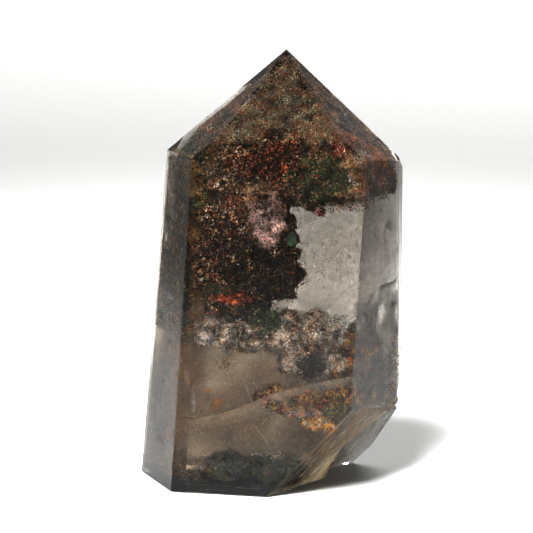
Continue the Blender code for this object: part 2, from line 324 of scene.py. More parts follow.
EDGE_WAVES = (
    ((1.3, 0.2, 0.7), 0.17),
    ((-0.9, 1.0, 2.3), 0.15),
    ((3.1, 0.6, -1.4), 0.13),
    ((4.3, -0.8, 3.7), 0.10),
)
PHANTOM_FRINGE = (
    ((-4.2, -4.6, 33.0), (3.4, 3.4, 2.6)),
    ((-9.6, -4.4, 34.6), (4.0, 3.6, 2.0)),
)
PHANTOM_SEED = 11
PHANTOM_RELIEF = (1.0, 3.4)
PHANTOM_CELL = 0.32
PHANTOM_SAMPLES = 22000
PHANTOM_LIFT = (-0.15, 0.3)
PHANTOM_LOOSE = 5000
PHANTOM_LOOSE_LIFT = (0.2, 1.6)
LAYER_BATCH = 200000
CLUMP_WAVES = 9
CLUMP_SCATTER = 1.0
ACCENT_SHARE = 0.8
CLUMP_SHADE = (480.0, 0.25, 1.5)
GARDEN_ACCENTS = (BLACK_RED, RUST, BLACK_GREEN, BROWN, DARK_GREEN, TAN)
VEIL_COLOURS = (BLACK_RED, RUST, BROWN, DARK_BROWN, GREY, BROWN, PINK, CREAM, GREY, PALE_GREY, PAINTED_GLINT)
LIMONITE_COLOURS = (BLACK_GREEN, DARK_BROWN, OLIVE_YELLOW, UMBER, BLACK_GREEN, OCHRE, UMBER, RUST, GOLD)
ROOT_COLOURS = (BLACK_GREEN, BLACK_GREEN, DARK_GREEN, BLACK_GREEN, DARK_BROWN, DARK_GREEN)

# The smaller masses: node, lumps, relief and its grain, ground colours, grain colours, number of
# grains and their radii
MASSES = {
    "veil": ("granular_veil", VEIL_LUMPS, (1.0, 2.2), (UMBER, BROWN, GREY, DARK_BROWN),
        VEIL_COLOURS, 4600, (0.08, 0.26)),
    "limonite": ("limonite_pocket", LIMONITE_LUMPS, (1.0, 2.4), (BLACK_GREEN, OCHRE, DARK_BROWN, RUST),
        LIMONITE_COLOURS, 4200, (0.10, 0.32)),
    "root": ("root_chlorite", ROOT_LUMPS, (0.8, 1.9), (BLACK_GREEN, DARK_GREEN, DARK_BROWN),
        ROOT_COLOURS, 2200, (0.08, 0.22)),
}
MASS_SEED = 21
MASS_CELL = 0.36
MASS_LIFT = (-0.1, 0.45)
MASS_PATCHES = (2.4, 0.4)

# Hazes of motes: seed, the facet that one follows or none for a cloud, its low and high corner or
# its middle and radii, its depths under the facet, number of motes, the size and share of its
# clumps, the motes' radii, their colours, slot, and the size of a patch of one colour
HAZES = {
    "tip_dust": (32, "tip_front", ((-22, -13, 56), (20, 2, 79)), (0.5, 1.6), 11000, (5.0, 0.7),
        (0.12, 0.36),
        (DARK_RED, BROWN, TAN, RUST, GREY_GREEN, BROWN, KHAKI, PALE_GREEN, GREY, CREAM),
        "chlorite_phantom", 1.5),
    "flank_dust": (33, "left", ((-24, -10, 28), (-12, 10, 60)), (0.5, 3.2), 20000, (6.0, 0.85),
        (0.12, 0.36),
        (BLACK_GREEN, DARK_GREEN, DARK_BROWN, MOSS_GREEN, RUST, GREY_GREEN, OCHRE, OLIVE_YELLOW, CREAM),
        "chlorite_phantom", 1.5),
    "lower_dust": (34, None, ((-2.0, -1.0, 15.0), (22.0, 9.0, 17.0)), None, 30000, (9.0, 0.7),
        (0.06, 0.18), (DARK_BROWN, BROWN, TAN, DARK_BROWN, GREY, BROWN), "granular_veil", 3.0),
    "base_dust": (36, None, ((-12.4, -7.6, 3.6), (6.0, 2.4, 3.0)), None, 4000, None,
        (0.08, 0.22), (DARK_BROWN, BROWN, UMBER, BROWN, TAN), "granular_veil", 1.5),
    "wisps": (35, "front", ((-17, -12, 6), (14, -7, 32)), (0.6, 3.4), 4500, (12.0, 0.9),
        (0.06, 0.20), (DARK_BROWN, UMBER, BROWN, DARK_BROWN, GREY, TAN), "granular_veil", 3.0),
}
HAZE_SEED = 31
HAZE_SPREAD = 0.6

# Milky veils: middle, width and height, turn about the vertical, colour, cover and patch
VEIL_THICKNESS = 0.05
VEIL_CUTS = 40
VEIL_RIPPLE = 0.35
VEIL_WAVES = ((1.0, 0.35, 0.0), (1.0, 0.0, 0.28), (0.5, 0.9, 0.4), (0.5, -0.5, 1.1))
VEIL_SEED = 50
VEIL_RIM = 0.22
VEIL_SPAN = (0.38, 0.66)
VEIL_DETAIL = 6.0
VEIL_FLECKS = 3000.0
VEIL_DARKENING = 0.55
SMOKY_BROWN = srgb(156, 124, 88)
MILKY_BROWN = srgb(186, 162, 138)
WISPY_TAN = srgb(202, 170, 130)
MOSSY_BLACK = srgb(54, 54, 40)
DEEP_BROWN = srgb(112, 92, 72)
VEILS = {
    "front_veil": ((-1.0, -5.6, 4.0), (64.0, 62.0), 1.0, WISPY_TAN, 0.5, 6.0),
    "middle_veil": ((-3.0, -2.5, 3.0), (70.0, 62.0), -3.0, SMOKY_BROWN, 0.6, 9.0),
    "deep_veil": ((0.0, 3.0, 4.0), (70.0, 66.0), 4.0, MILKY_BROWN, 0.6, 5.0),
    "left_veil": ((-19.4, -2.4, 12.0), (30.0, 70.0), 118.5, SMOKY_BROWN, 0.9, 4.0),
    "flank_veil": ((-19.6, -3.2, 46.0), (26.0, 44.0), 118.5, MOSSY_BLACK, 0.95, 3.0),
    # A dark brown sheet along the right face, there to darken it: painted shade.
    "right_shade_veil": ((19.6, -3.2, 21.0), (26.0, 62.0), 57.5, DEEP_BROWN, 1.0, 4.0),
    "edge_veil": ((-17.2, -8.8, 8.0), (11.0, 70.0), 0.0, SMOKY_BROWN, 0.55, 9.0),
    "window_veil": ((8.0, 1.0, 43.0), (26.0, 30.0), -6.0, SMOKY_BROWN, 0.2, 1.2),
}

# The ribbon: an old crystal face, seen edge on. Its path, and how wide it is at each point.
RIBBON_PATH = (
    ((-16.0, -8.0, 12.0), 0.6),
    ((-12.4, -8.0, 12.4), 0.9),
    ((-8.4, -8.0, 13.0), 1.1),
    ((-5.2, -8.0, 14.1), 1.3),
    ((-0.7, -8.0, 16.0), 1.6),
    ((3.8, -8.0, 17.7), 1.7),
    ((8.3, -8.0, 19.3), 1.3),
    ((12.7, -8.0, 20.9), 0.8),
    ((15.6, -7.2, 21.4), 0.4),
)
RIBBON_THICKNESS = 0.3
RIBBON_COVER = 0.5
RIBBON_PATCH = 1.6
RIBBON_SMOOTHING = 0.6
BAND_ROUGHNESS = 0.7
BAND_DETAIL = 5.0
BAND_SPAN = (0.30, 0.60)
BAND_THIN = 0.35
COVER = "cover"

# The band's section: towards the back or front, up or down, and how solid it looks there
RIBBON_SECTION = (
    (0, 1.0, 1.0),
    (-1, 0.8, 1.0),
    (-1, -0.3, 0.45),
    (0, -1.3, 0.0),
    (1, -0.3, 0.45),
    (1, 0.8, 1.0),
)
RIBBON_TAN = srgb(212, 194, 168)

# Cracks: thin planes seen nearly edge on, painted bright white: a painted glint on real fractures. Both
# ends.
CRACKS = (
    ((-10.5, -7.8, 24.9), (-7.7, -7.8, 21.4)),
    ((-7.0, -7.6, 24.0), (-3.1, -7.6, 16.4)),
    ((3.5, -7.8, 23.5), (6.0, -7.8, 20.2)),
    ((5.4, -7.5, 26.2), (9.5, -7.5, 20.4)),
    ((-13.6, -8.0, 9.0), (-11.0, -8.0, 5.5)),
    ((-2.6, -8.4, 12.2), (0.4, -8.4, 8.8)),
    ((4.6, -7.4, 37.4), (8.2, -7.4, 41.6)),
    ((9.0, -7.0, 41.0), (11.8, -7.0, 45.2)),
    ((11.4, -7.6, 36.2), (14.0, -7.6, 39.4)),
)
CRACK_WIDTH = 0.09
CRACK_DEPTH = 1.2
CRACK_GLINT_WHITE = srgb(220, 208, 196)
CRACK_COVER = 0.4
CRACK_PATCH = 1.0

# Patches of one colour in a cluster, the crust and the stains: their size, and how far a single
# grain's colour strays from its patch
CLUSTER_PATCHES = (0.9, 0.7)
CRUST_PATCHES = (0.8, 0.6)
STAIN_PATCHES = (1.2, 0.5)
CLUSTER_SEED = 80

# Small clusters: middle, radii, number of grains, their radii, colours from dark to light, slot
CLUSTERS = {
    "pink_patch": ((-12.0, -9.4, 28.0), (2.1, 0.6, 1.3), 500, (0.12, 0.34),
        (BRICK, PINK, PALE_PINK, PALE_PINK, PALE_PINK), "granular_veil"),
    "orange_pink_grains": ((6.2, -9.2, 15.2), (3.6, 0.7, 1.2), 400, (0.12, 0.36),
        (RUST, OCHRE, TAN, ORANGE_RUST, CREAM, PALE_PINK), "limonite_pocket"),
    "golden_mass": ((9.4, -9.0, 13.2), (3.2, 0.7, 1.5), 480, (0.14, 0.50),
        (DARK_BROWN, OCHRE, GOLD, OCHRE, CREAM, OLIVE_YELLOW), "limonite_pocket"),
    "olive_lens": ((12.8, -8.8, 15.4), (3.4, 0.6, 2.0), 1600, (0.14, 0.38),
        (BLACK_GREEN, DARK_GREEN, DARK_BROWN, OLIVE_YELLOW, BLACK_GREEN), "limonite_pocket"),
    "tan_blob": ((12.2, -9.0, 24.6), (2.1, 0.6, 1.7), 420, (0.14, 0.40),
        (BROWN, OCHRE, CREAM, BROWN, CREAM), "limonite_pocket"),
    "dark_triangle": ((7.6, -9.0, 24.0), (2.6, 0.5, 2.4), 1500, (0.12, 0.30),
        (BLACK_GREEN, BLACK_RED, UMBER, DARK_BROWN), "granular_veil"),
    # Its near-white grains are painted glints.
    "sparkling_fringe": ((12.4, -8.0, 32.0), (4.2, 1.2, 1.7), 420, (0.08, 0.26),
        (BROWN, GREY, CREAM, PALE_GREY, PAINTED_GLINT, PAINTED_GLINT), "granular_veil"),
    "garden_fringe": ((12.6, -6.8, 53.6), (4.6, 1.4, 1.6), 500, (0.08, 0.28),
        (DARK_RED, BROWN, GREY, RUST, PALE_GREY, PAINTED_GLINT), "chlorite_phantom"),
    "pale_row": ((-4.0, -8.6, 64.6), (3.4, 0.6, 0.7), 220, (0.12, 0.30),
        (GREY, PALE_GREY, PALE_MAUVE, PAINTED_GLINT), "chlorite_phantom"),
    "root_fringe": ((5.0, -7.4, 6.6), (8.0, 1.0, 0.9), 500, (0.08, 0.24),
        (BROWN, GREY, PALE_GREY, CREAM, PALE_GREY), "root_chlorite"),
    "dark_red_blob": ((7.8, -7.4, 51.9), (0.9, 0.5, 0.8), 90, (0.20, 0.45),
        (DARK_RED, DARK_RED, BLACK_RED), "chlorite_phantom"),
    "low_green_lobe": ((-1.4, -8.8, 31.6), (3.0, 0.6, 2.6), 1500, (0.12, 0.32),
        (BLACK_GREEN, DARK_GREEN, BLACK_GREEN, MOSS_GREEN, KHAKI), "chlorite_phantom"),
    "sliver_shadow": ((-15.4, -8.8, 18.2), (1.3, 0.4, 2.8), 700, (0.10, 0.26),
        (BLACK_GREEN, DARK_GREEN, UMBER, MOSS_GREEN), "chlorite_phantom"),
    "corner_grains": ((17.6, -3.4, 21.0), (2.2, 2.6, 6.0), 1500, (0.12, 0.34),
        (BLACK_GREEN, DARK_BROWN, BROWN, RUST, OLIVE_YELLOW, GREY), "limonite_pocket"),
    "right_specks": ((17.6, -2.0, 42.0), (3.4, 5.0, 16.0), 500, (0.05, 0.12),
        (DARK_BROWN, BROWN, GREY), "granular_veil"),
    "window_specks": ((7.0, -2.0, 43.0), (10.0, 8.0, 9.0), 700, (0.06, 0.14),
        (BLACK_GREEN, DARK_BROWN, BROWN, GREY), "granular_veil"),
}

# Single flakes: middle, radii along three axes, turn about the view, colour, slot
FLAKE_RELIEF = (0.35, 0.6)
FLAKE_ROUGHNESS = 0.45
FLAKES = {
    "green_flake": ((2.6, -7.8, 46.8), (1.0, 0.12, 1.4), -24.0, TEAL_GREEN, "chlorite_phantom"),
    "orange_flake": ((-9.5, -8.6, 15.8), (0.9, 0.10, 1.2), 38.0, FLAKE_OCHRE, "limonite_pocket"),
    "small_orange_flake": ((-11.2, -8.4, 18.2), (0.7, 0.10, 0.3), -20.0, FLAKE_OCHRE, "limonite_pocket"),
    "left_orange_flake": ((-14.6, -8.2, 18.2), (0.5, 0.10, 1.5), 12.0, FLAKE_OCHRE, "limonite_pocket"),
    "right_orange_flake": ((14.0, -8.0, 25.2), (0.4, 0.10, 0.6), 35.0, BRIGHT_ORANGE,
        "limonite_pocket"),
    "blue_sliver": ((-13.9, -8.2, 16.6), (0.45, 0.12, 2.6), -6.0, PALE_BLUE, "granular_veil"),
}

# Rust veins just under the right shoulder: points, scatter and number of grains
VEIN_SEED = 71
VEIN_RADII = (0.07, 0.20)
RUST_VEINS = (
    (((9.2, -9.4, 66.0), (12.6, -6.8, 65.2), (16.0, -4.6, 63.4), (19.2, -2.4, 61.6)), 0.22, 500),
    (((11.4, -8.4, 65.2), (14.4, -6.4, 62.8), (17.8, -4.6, 61.2), (18.9, -3.6, 60.0)), 0.20, 380),
    (((18.6, -3.6, 61.2), (18.0, -5.2, 59.6), (17.6, -5.8, 57.8)), 0.18, 260),
    (((15.6, -5.6, 63.6), (17.0, -5.6, 61.0), (16.6, -6.6, 58.6)), 0.16, 220),
)
VEIN_COLOURS = (DARK_RED, RUST, ORANGE_RUST, DARK_BROWN, ORANGE_RUST, OCHRE)

# The crust of the chipped right-hand edge: the line that it follows, how quickly it thins out
# upwards, its scatter, the depths between which it lies, and how far a grain may stand proud
CRUST_SEED = 91
CRUST_RADII = (0.12, 0.36)
CRUST_LINE = ((23.0, -1.2, 15.0), (22.4, -1.6, 27.0))
CRUST_COUNT = 5000
CRUST_FADE = 1.6
CRUST_SCATTER = 1.2
CRUST_DEPTHS = (0.1, 1.4)
CRUST_STAND = 0.05
CRUST_COLOURS = (BLACK_GREEN, DARK_BROWN, RUST, OLIVE_YELLOW, UMBER, BROWN, OLIVE_YELLOW, OCHRE)

# The stains along the edge between the healed break and the scar
SCAR_STAIN_SEED = 92
SCAR_STAIN_RADII = (0.08, 0.24)
SCAR_STAIN_LINE = ((21.0, -0.2, 14.6), (12.4, -4.6, 7.6))
SCAR_STAIN_COUNT = 420
SCAR_STAIN_SCATTER = 0.35

# The photo's camera: turned to the right of the front face, raised, and rolled a little, with its
# distance, its aim to the right and up, and its lens
CAMERA_TURN = 2.165
CAMERA_RISE = 10.459
CAMERA_ROLL = 2.515
CAMERA_DISTANCE = 356.9
CAMERA_AIM = (-1.885, 39.916)
CAMERA_LENS = 130.52
CAMERA_SENSOR = 36.0
CAMERA_CLIP = 0.01

# The stage: gamma of the view, radiance of the sky from front to back, and the floor
VIEW_GAMMA = 0.72
SKY_SPAN = (-1.0, 0.3)
SKY_RADIANCE = (0.22, 0.6)
FLOOR_SIZE = 8.0
FLOOR_DROP = 0.2
FLOOR_ROUGHNESS = 0.9
FLOOR_GLOSS = 0.1
FLOOR_COLOUR = (0.30, 0.30, 0.297, 1.0)

# Studio lights: place, the point that each looks at, width and length, radiance and spread
LIGHTS = {
    "overhead": ((0.0, 2.65, 1.0), (0.0, 2.65, 0.0), (1.6, 5.0), 5.3, 180.0),
    "key": ((-0.25, -0.50, 0.75), (0.0, 0.0, 0.05), (0.35, 0.35), 8.6, 22.0),
}


def facet_plane(azimuth, elevation, reach, height):
    """A point of a facet and its outward normal."""
    turn = math.radians(azimuth)
    rise = math.radians(elevation)
    outward = Vector((math.sin(turn), -math.cos(turn), 0.0))
    normal = outward * math.cos(rise) + Vector((0.0, 0.0, math.sin(rise)))
    return outward * reach + Vector((0.0, 0.0, height)), normal.normalized()


def cut_away(bm, point, normal):
    """Remove what lies outside a plane, and close the cut with one flat face."""
    geometry = bm.verts[:] + bm.edges[:] + bm.faces[:]
    cut = bmesh.ops.bisect_plane(
        bm, geom=geometry, plane_co=point, plane_no=normal, clear_outer=True)
    rim = [item for item in cut["geom_cut"] if isinstance(item, bmesh.types.BMEdge)]
    if rim:
        bmesh.ops.edgeloop_fill(bm, edges=rim)


def quartz_block(inset=0.0, left_inset=0.0):
    """The whole crystal as a block with every facet cut, or a smaller copy of it inside."""
    bm = bmesh.new()
    bmesh.ops.create_cube(bm, size=BLOCK_SIZE)
    for name, facet in FACETS.items():
        point, normal = facet_plane(*facet)
        depth = left_inset if name in PHANTOM_LEFT_FACETS else inset
        cut_away(bm, point - normal * depth, normal)
    bmesh.ops.recalc_face_normals(bm, faces=bm.faces[:])
    return bm


def middle_of(bm):
    """The middle of a shape's outline, seen from above."""
    across = [vert.co.x for vert in bm.verts]
    along = [vert.co.y for vert in bm.verts]
    return Vector(((min(across) + max(across)) / 2, (min(along) + max(along)) / 2, 0.0))


def part_transform():
    """From millimetres round the tip's axis to the part's own frame."""
    block = quartz_block()
    middle = middle_of(block)
    block.free()
    return Matrix.Scale(MM, 4) @ Matrix.Translation(-middle)


TO_PART = part_transform()


def unit_vectors(rng, count):
    """Evenly spread directions."""
    directions = rng.normal(size=(count, 3))
    return directions / np.linalg.norm(directions, axis=1, keepdims=True)


PLANES = [facet_plane(*facet) for facet in FACETS.values()]
PLANE_NORMALS = np.array([normal for point, normal in PLANES])
PLANE_OFFSETS = np.array([normal.dot(point) for point, normal in PLANES])


def depth_inside(points):
    """How far points in millimetres lie under the nearest facet."""
    return (PLANE_OFFSETS - points @ PLANE_NORMALS.T).min(axis=1)


def add_box(bm, matrix, size):
    """A box with its middle at the matrix's origin."""
    shape = Matrix.Diagonal((*size, 1.0))
    bmesh.ops.create_cube(bm, size=1.0, matrix=matrix @ shape)


def add_lump(bm, place, radii, detail=SPHERE_DETAIL):
    """An ellipsoid."""
    shape = Matrix.Translation(place) @ Matrix.Diagonal((*radii, 1.0))
    bmesh.ops.create_icosphere(bm, subdivisions=detail, radius=1.0, matrix=shape)


def new_object(name, data):
    """An object in the scene."""
    thing = bpy.data.objects.new(name, data)
    bpy.context.scene.collection.objects.link(thing)
    return thing


def finish_object(name, bm, material=None):
    """Turn a shape in millimetres into an object of the part."""
    bm.transform(TO_PART)
    mesh = bpy.data.meshes.new(name)
    bm.to_mesh(mesh)
    bm.free()
    if material:
        mesh.materials.append(material)
    return new_object(name, mesh)


def cut_inside(bm):
    """Keep what lies a little inside the crystal."""
    for facet in (*FACETS.values(), SCAR_FACET):
        point, normal = facet_plane(*facet)
        cut_away(bm, point - normal * SMOKE_INSET, normal)


def bake_modifiers(thing):
    """Replace an object's mesh by what its modifiers make of it."""
    seen = thing.evaluated_get(bpy.context.evaluated_depsgraph_get())
    mesh = bpy.data.meshes.new_from_object(seen)
    thing.modifiers.clear()
    thing.data = mesh


def wear(piece, slot, *nodes):
    """Let a piece ride on the crystal and stand for CAD nodes; its slot is not used."""
    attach(piece, "root")
    if nodes:
        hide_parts(*nodes)


# Materials

def new_material(name, roughness):
    """A material, its node tree and its shader."""
    material = bpy.data.materials.new(name)
    material.use_nodes = True
    tree = material.node_tree
    shader = tree.nodes["Principled BSDF"]
    shader.inputs["Roughness"].default_value = roughness
    return material, tree, shader


def add_node(tree, kind, values, links):
    """A node, with the values of some inputs and what feeds others."""
    node = tree.nodes.new(kind)
    for name, value in values.items():
        node.inputs[name].default_value = value
    for name, source in links.items():
        tree.links.new(source, node.inputs[name])
    return node


def own_place(tree):
    """The part's own coordinates."""
    return tree.nodes.new("ShaderNodeTexCoord").outputs["Object"]


def map_range(tree, value, span, result=(0.0, 1.0)):
    """Stretch one span of a number over another."""
    limits = dict(zip(("From Min", "From Max", "To Min", "To Max"), (*span, *result)))
    return add_node(tree, "ShaderNodeMapRange", limits, {"Value": value}).outputs["Result"]


def mixed(tree, first, second, factor=None):
    """Mix two colours by a factor, or multiply them where there is none."""
    mix = tree.nodes.new("ShaderNodeMix")
    mix.data_type = "RGBA"
    if factor is None:
        mix.blend_type = "MULTIPLY"
        mix.inputs["Factor"].default_value = 1.0
    else:
        tree.links.new(factor, mix.inputs["Factor"])
    tree.links.new(first, mix.inputs["A"])
    tree.links.new(second, mix.inputs["B"])
    return mix.outputs["Result"]


def product(tree, first, second):
    """Multiply two numbers."""
    node = tree.nodes.new("ShaderNodeMath")
    node.operation = "MULTIPLY"
    tree.links.new(first, node.inputs[0])
    tree.links.new(second, node.inputs[1])
    return node.outputs["Value"]


def add_ramp(tree, factor, colours):
    """A ramp with one even step for each colour."""
    node = tree.nodes.new("ShaderNodeValToRGB")
    tree.links.new(factor, node.inputs["Fac"])
    ramp = node.color_ramp
    ramp.interpolation = "CONSTANT"
    while len(ramp.elements) > 1:
        ramp.elements.remove(ramp.elements[-1])
    for index, colour in enumerate(colours):
        stop = ramp.elements[0] if index == 0 else ramp.elements.new(index / len(colours))
        stop.position = index / len(colours)
        stop.color = (*colour, 1.0)
    return node.outputs["Color"]


def add_noise(tree, scale, detail):
    """Noise over the part's own coordinates. Scale is in features to the metre."""
    return add_node(tree, "ShaderNodeTexNoise", {"Scale": scale, "Detail": detail},
                    {"Vector": own_place(tree)}).outputs["Fac"]


def shade_by_noise(tree, colour, scale, low, high):
    """Darken and lighten a colour in small patches."""
    noise = add_noise(tree, scale, MOTTLE_DETAIL)
    return mixed(tree, colour, map_range(tree, noise, NOISE_SPAN, (low, high)))


def patchy_factor(tree, chance, patch, spread):
    """A number that drifts from patch to patch, and strays from it grain by grain."""
    noise = add_noise(tree, 1.0 / (patch * MM), PATCH_DETAIL)
    stray = tree.nodes.new("ShaderNodeMath")
    stray.operation = "MULTIPLY_ADD"
    stray.inputs[1].default_value = spread
    tree.links.new(chance, stray.inputs[0])
    tree.links.new(map_range(tree, noise, PATCH_SPAN, (0.0, 1.0 - spread)), stray.inputs[2])
    return stray.outputs["Value"]


def grain_material(name, colours, patch=GRAIN_PATCH, spread=GRAIN_STRAY):
    """Grains of several colours, from dark to light: grains that lie together are alike."""
    material, tree, shader = new_material(name, GRAIN_ROUGHNESS)
    chance = tree.nodes.new("ShaderNodeNewGeometry").outputs["Random Per Island"]
    steps = add_ramp(tree, patchy_factor(tree, chance, patch, spread), colours)
    clumps = shade_by_noise(tree, steps, *CLUMP_SHADE)
    tree.links.new(shade_by_noise(tree, clumps, *GRAIN_SHADE), shader.inputs["Base Color"])
    return material


def mass_material(name, cell, accents):
    """A granular mass: its ground colours, broken into small light and dark cells."""
    material, tree, shader = new_material(name, MASS_ROUGHNESS)
    tint = tree.nodes.new("ShaderNodeAttribute")
    tint.attribute_name = TINT
    cells = add_node(tree, "ShaderNodeTexVoronoi", {"Scale": 1.0 / (cell * MM)},
                     {"Vector": own_place(tree)})
    parts = add_node(tree, "ShaderNodeSeparateColor", {}, {"Color": cells.outputs["Color"]})
    shade = map_range(tree, parts.outputs["Red"], (0.0, 1.0), CELL_SHADES)
    ground = mixed(tree, tint.outputs["Color"], shade)
    choice = map_range(tree, parts.outputs["Blue"], ACCENT_SPAN, (0.0, ACCENT_SHARE))
    accent = mixed(tree, ground, add_ramp(tree, parts.outputs["Green"], accents), choice)
    clumps = shade_by_noise(tree, accent, *CLUMP_SHADE)
    tree.links.new(shade_by_noise(tree, clumps, *MASS_SHADE), shader.inputs["Base Color"])
    return material


def quartz_material(name, roughness, tint):
    """Clear quartz. The smoke inside it is a body of its own."""
    material, _, shader = new_material(name, roughness)
    shader.inputs["Base Color"].default_value = (*tint, 1.0)
    shader.inputs["Transmission Weight"].default_value = 1.0
    shader.inputs["IOR"].default_value = QUARTZ_IOR
    return material


def add_absorption(tree, tint, density):
    """Let a body darken and tint the light that crosses it. Density is to the metre."""
    absorption = add_node(
        tree, "ShaderNodeVolumeAbsorption", {"Color": (*tint, 1.0), "Density": density}, {})
    tree.links.new(absorption.outputs["Volume"], tree.nodes["Material Output"].inputs["Volume"])


def smoke_material(name, tint, density):
    """A smoky zone of the quartz: it bends no light, and only absorbs it."""
    material, tree, shader = new_material(name, 0.0)
    shader.inputs["Base Color"].default_value = (1.0, 1.0, 1.0, 1.0)
    shader.inputs["Transmission Weight"].default_value = 1.0
    shader.inputs["IOR"].default_value = 1.0
    add_absorption(tree, tint, density)
    return material


def frosted_material(name, tint, roughness):
    """The broken corner's healed skin: quartz with fine streaks along the break."""
    material = quartz_material(name, roughness[0], tint)
    tree = material.node_tree
    shader = tree.nodes["Principled BSDF"]
    normal = facet_plane(*FACETS["broken_corner"])[1]
    along = (GROOVE_END - GROOVE_START).normalized()
    axes = Matrix((along, normal.cross(along), normal)).transposed()
    turn = add_node(tree, "ShaderNodeMapping", {}, {"Vector": own_place(tree)})
    turn.vector_type = "TEXTURE"
    turn.inputs["Rotation"].default_value = axes.to_euler()
    turn.inputs["Scale"].default_value = (STREAK_STRETCH, 1.0, 1.0)
    streaks = add_node(
        tree, "ShaderNodeTexNoise", {"Scale": STREAK_SCALE, "Detail": STREAK_DETAIL},
        {"Vector": turn.outputs["Vector"]}).outputs["Fac"]
    bump = add_node(
        tree, "ShaderNodeBump", {"Strength": STREAK_BUMP, "Distance": STREAK_HEIGHT * MM},
        {"Height": streaks})
    tree.links.new(bump.outputs["Normal"], shader.inputs["Normal"])
    rough = map_range(tree, streaks, NOISE_SPAN, roughness)
    tree.links.new(rough, shader.inputs["Roughness"])
    return material


# The clear quartz

def scar_cutter():
    """The block that struck the flake scar off the broken corner."""
    point, normal = facet_plane(*SCAR_FACET)
    step = SCAR_STEP_FOOT - SCAR_STEP_TOP
    down = (step - normal * step.dot(normal)).normalized()
    aside = normal.cross(down)
    if aside.x < 0:
        aside = -aside
        down = -down
    turn = Matrix((down, aside, normal)).transposed().to_4x4()
    on_plane = SCAR_STEP_TOP - normal * (SCAR_STEP_TOP - point).dot(normal)
    middle = on_plane + (aside + normal) * SCAR_SIZE / 2
    bm = bmesh.new()
    add_box(bm, Matrix.Translation(middle) @ turn, Vector((2, 1, 1)) * SCAR_SIZE)
    return finish_object("scar_cutter", bm)


def notch_cutter():
    """The small ledge broken into the base under the scar."""
    place = Matrix.Translation(NOTCH_CENTRE) @ Matrix.Rotation(math.radians(NOTCH_TURN), 4, "Z")
    bm = bmesh.new()
    add_box(bm, place, NOTCH_SIZE)
    return finish_object("notch_cutter", bm)


def groove_cutter():
    """Bars that lie on the broken corner edge down, and press a groove each into it."""
    point, normal = facet_plane(*FACETS["broken_corner"])
    along = GROOVE_END - GROOVE_START
    along = (along - normal * along.dot(normal)).normalized()
    across = along.cross(normal)
    if across.y < 0:
        across = -across
    middle = (GROOVE_START + GROOVE_END) / 2
    middle = middle - normal * (middle - point).dot(normal)
    turn = Matrix((along, normal.cross(along), normal)).transposed().to_4x4()
    tilt = Matrix.Rotation(math.radians(GROOVE_TILT), 4, "X")
    lift = GROOVE_BAR / math.sqrt(2) - GROOVE_DEPTH
    bm = bmesh.new()
    for index, length in enumerate(GROOVE_LENGTHS):
        place = middle + across * (GROOVE_FIRST + index * GROOVE_SPACING) + normal * lift
        size = Vector((length, GROOVE_BAR, GROOVE_BAR))
        add_box(bm, Matrix.Translation(place) @ turn @ tilt, size)
    return finish_object("groove_cutter", bm)


def add_relief(thing, voxel, relief, grain, kind="CLOUDS"):
    """Fuse an object's lumps in one skin if asked, and roughen it."""
    if voxel:
        remesh = thing.modifiers.new("fuse", "REMESH")
        remesh.mode = "VOXEL"
        remesh.voxel_size = voxel * MM
    texture = bpy.data.textures.new(thing.name + "_" + kind.lower(), kind)
    texture.noise_scale = grain * MM
    displace = thing.modifiers.new("roughen", "DISPLACE")
    displace.texture = texture
    displace.strength = relief * MM
    displace.mid_level = 0.5


def chip_cutter():
    """The chips out of the right-hand corner edge."""
    bm = bmesh.new()
    for place, radii in EDGE_CHIPS:
        add_lump(bm, place, radii)
    cutter = finish_object("chip_cutter", bm)
    add_relief(cutter, CHIP_VOXEL, CHIP_RELIEF, CHIP_GRAIN)
    return cutter


def bevelled_block():
    """The crystal's block with its polished edges."""
    bm = quartz_block()
    apex_edges = [
        edge for edge in bm.edges
        if max(vert.co.z for vert in edge.verts) > HEIGHT - TIP_BEVEL]
    other_edges = [edge for edge in bm.edges if edge not in apex_edges]
    bmesh.ops.bevel(bm, geom=other_edges, offset=EDGE_BEVEL, segments=BEVEL_STEPS,
                    profile=0.5, affect="EDGES", clamp_overlap=True)
    return bm


def facing(normal, facet):
    """Whether a face looks the way that a facet does."""
    return normal.dot(facet_plane(*facet)[1]) > SAME_WAY


def skin_of(normal):
    """The skin of a face of the quartz, by the way that it looks."""
    if facing(normal, SCAR_FACET):
        return "scar"
    curved = max(normal.dot(flat) for point, flat in PLANES) <= FLAT_FACE
    if curved or facing(normal, FACETS["broken_corner"]):
        return "healed"
    for side in SHADED_SIDE_TINTS:
        if facing(normal, FACETS[side]):
            return side
    return "polished"


def clear_quartz():
    """One clear piece for the two CAD halves, frosted on its broken corner."""
    skins = {
        "polished": quartz_material("polished_quartz", POLISH, CLEAR),
        "healed": frosted_material("healed_break", HEALED_TINT, HEALED_ROUGHNESS),
        "scar": frosted_material("scar", SCAR_TINT, SCAR_ROUGHNESS),
    }
    # The left and right faces take a darker tint: painted shade.
    for side, tint in SHADED_SIDE_TINTS.items():
        skins[side] = quartz_material("smoky_" + side, POLISH, tint)
    quartz = finish_object("clear_quartz", bevelled_block())
    for material in skins.values():
        quartz.data.materials.append(material)
    cutters = [scar_cutter(), notch_cutter(), groove_cutter(), chip_cutter()]
    for cutter in cutters:
        cut = quartz.modifiers.new(cutter.name, "BOOLEAN")
        cut.operation = "DIFFERENCE"
        cut.solver = "EXACT"
        cut.object = cutter
    bake_modifiers(quartz)
    for cutter in cutters:
        bpy.data.objects.remove(cutter, do_unlink=True)
    order = list(skins)
    for face in quartz.data.polygons:
        face.material_index = order.index(skin_of(face.normal))
    wear(quartz, "clear_quartz", "crystal_front", "crystal_back")


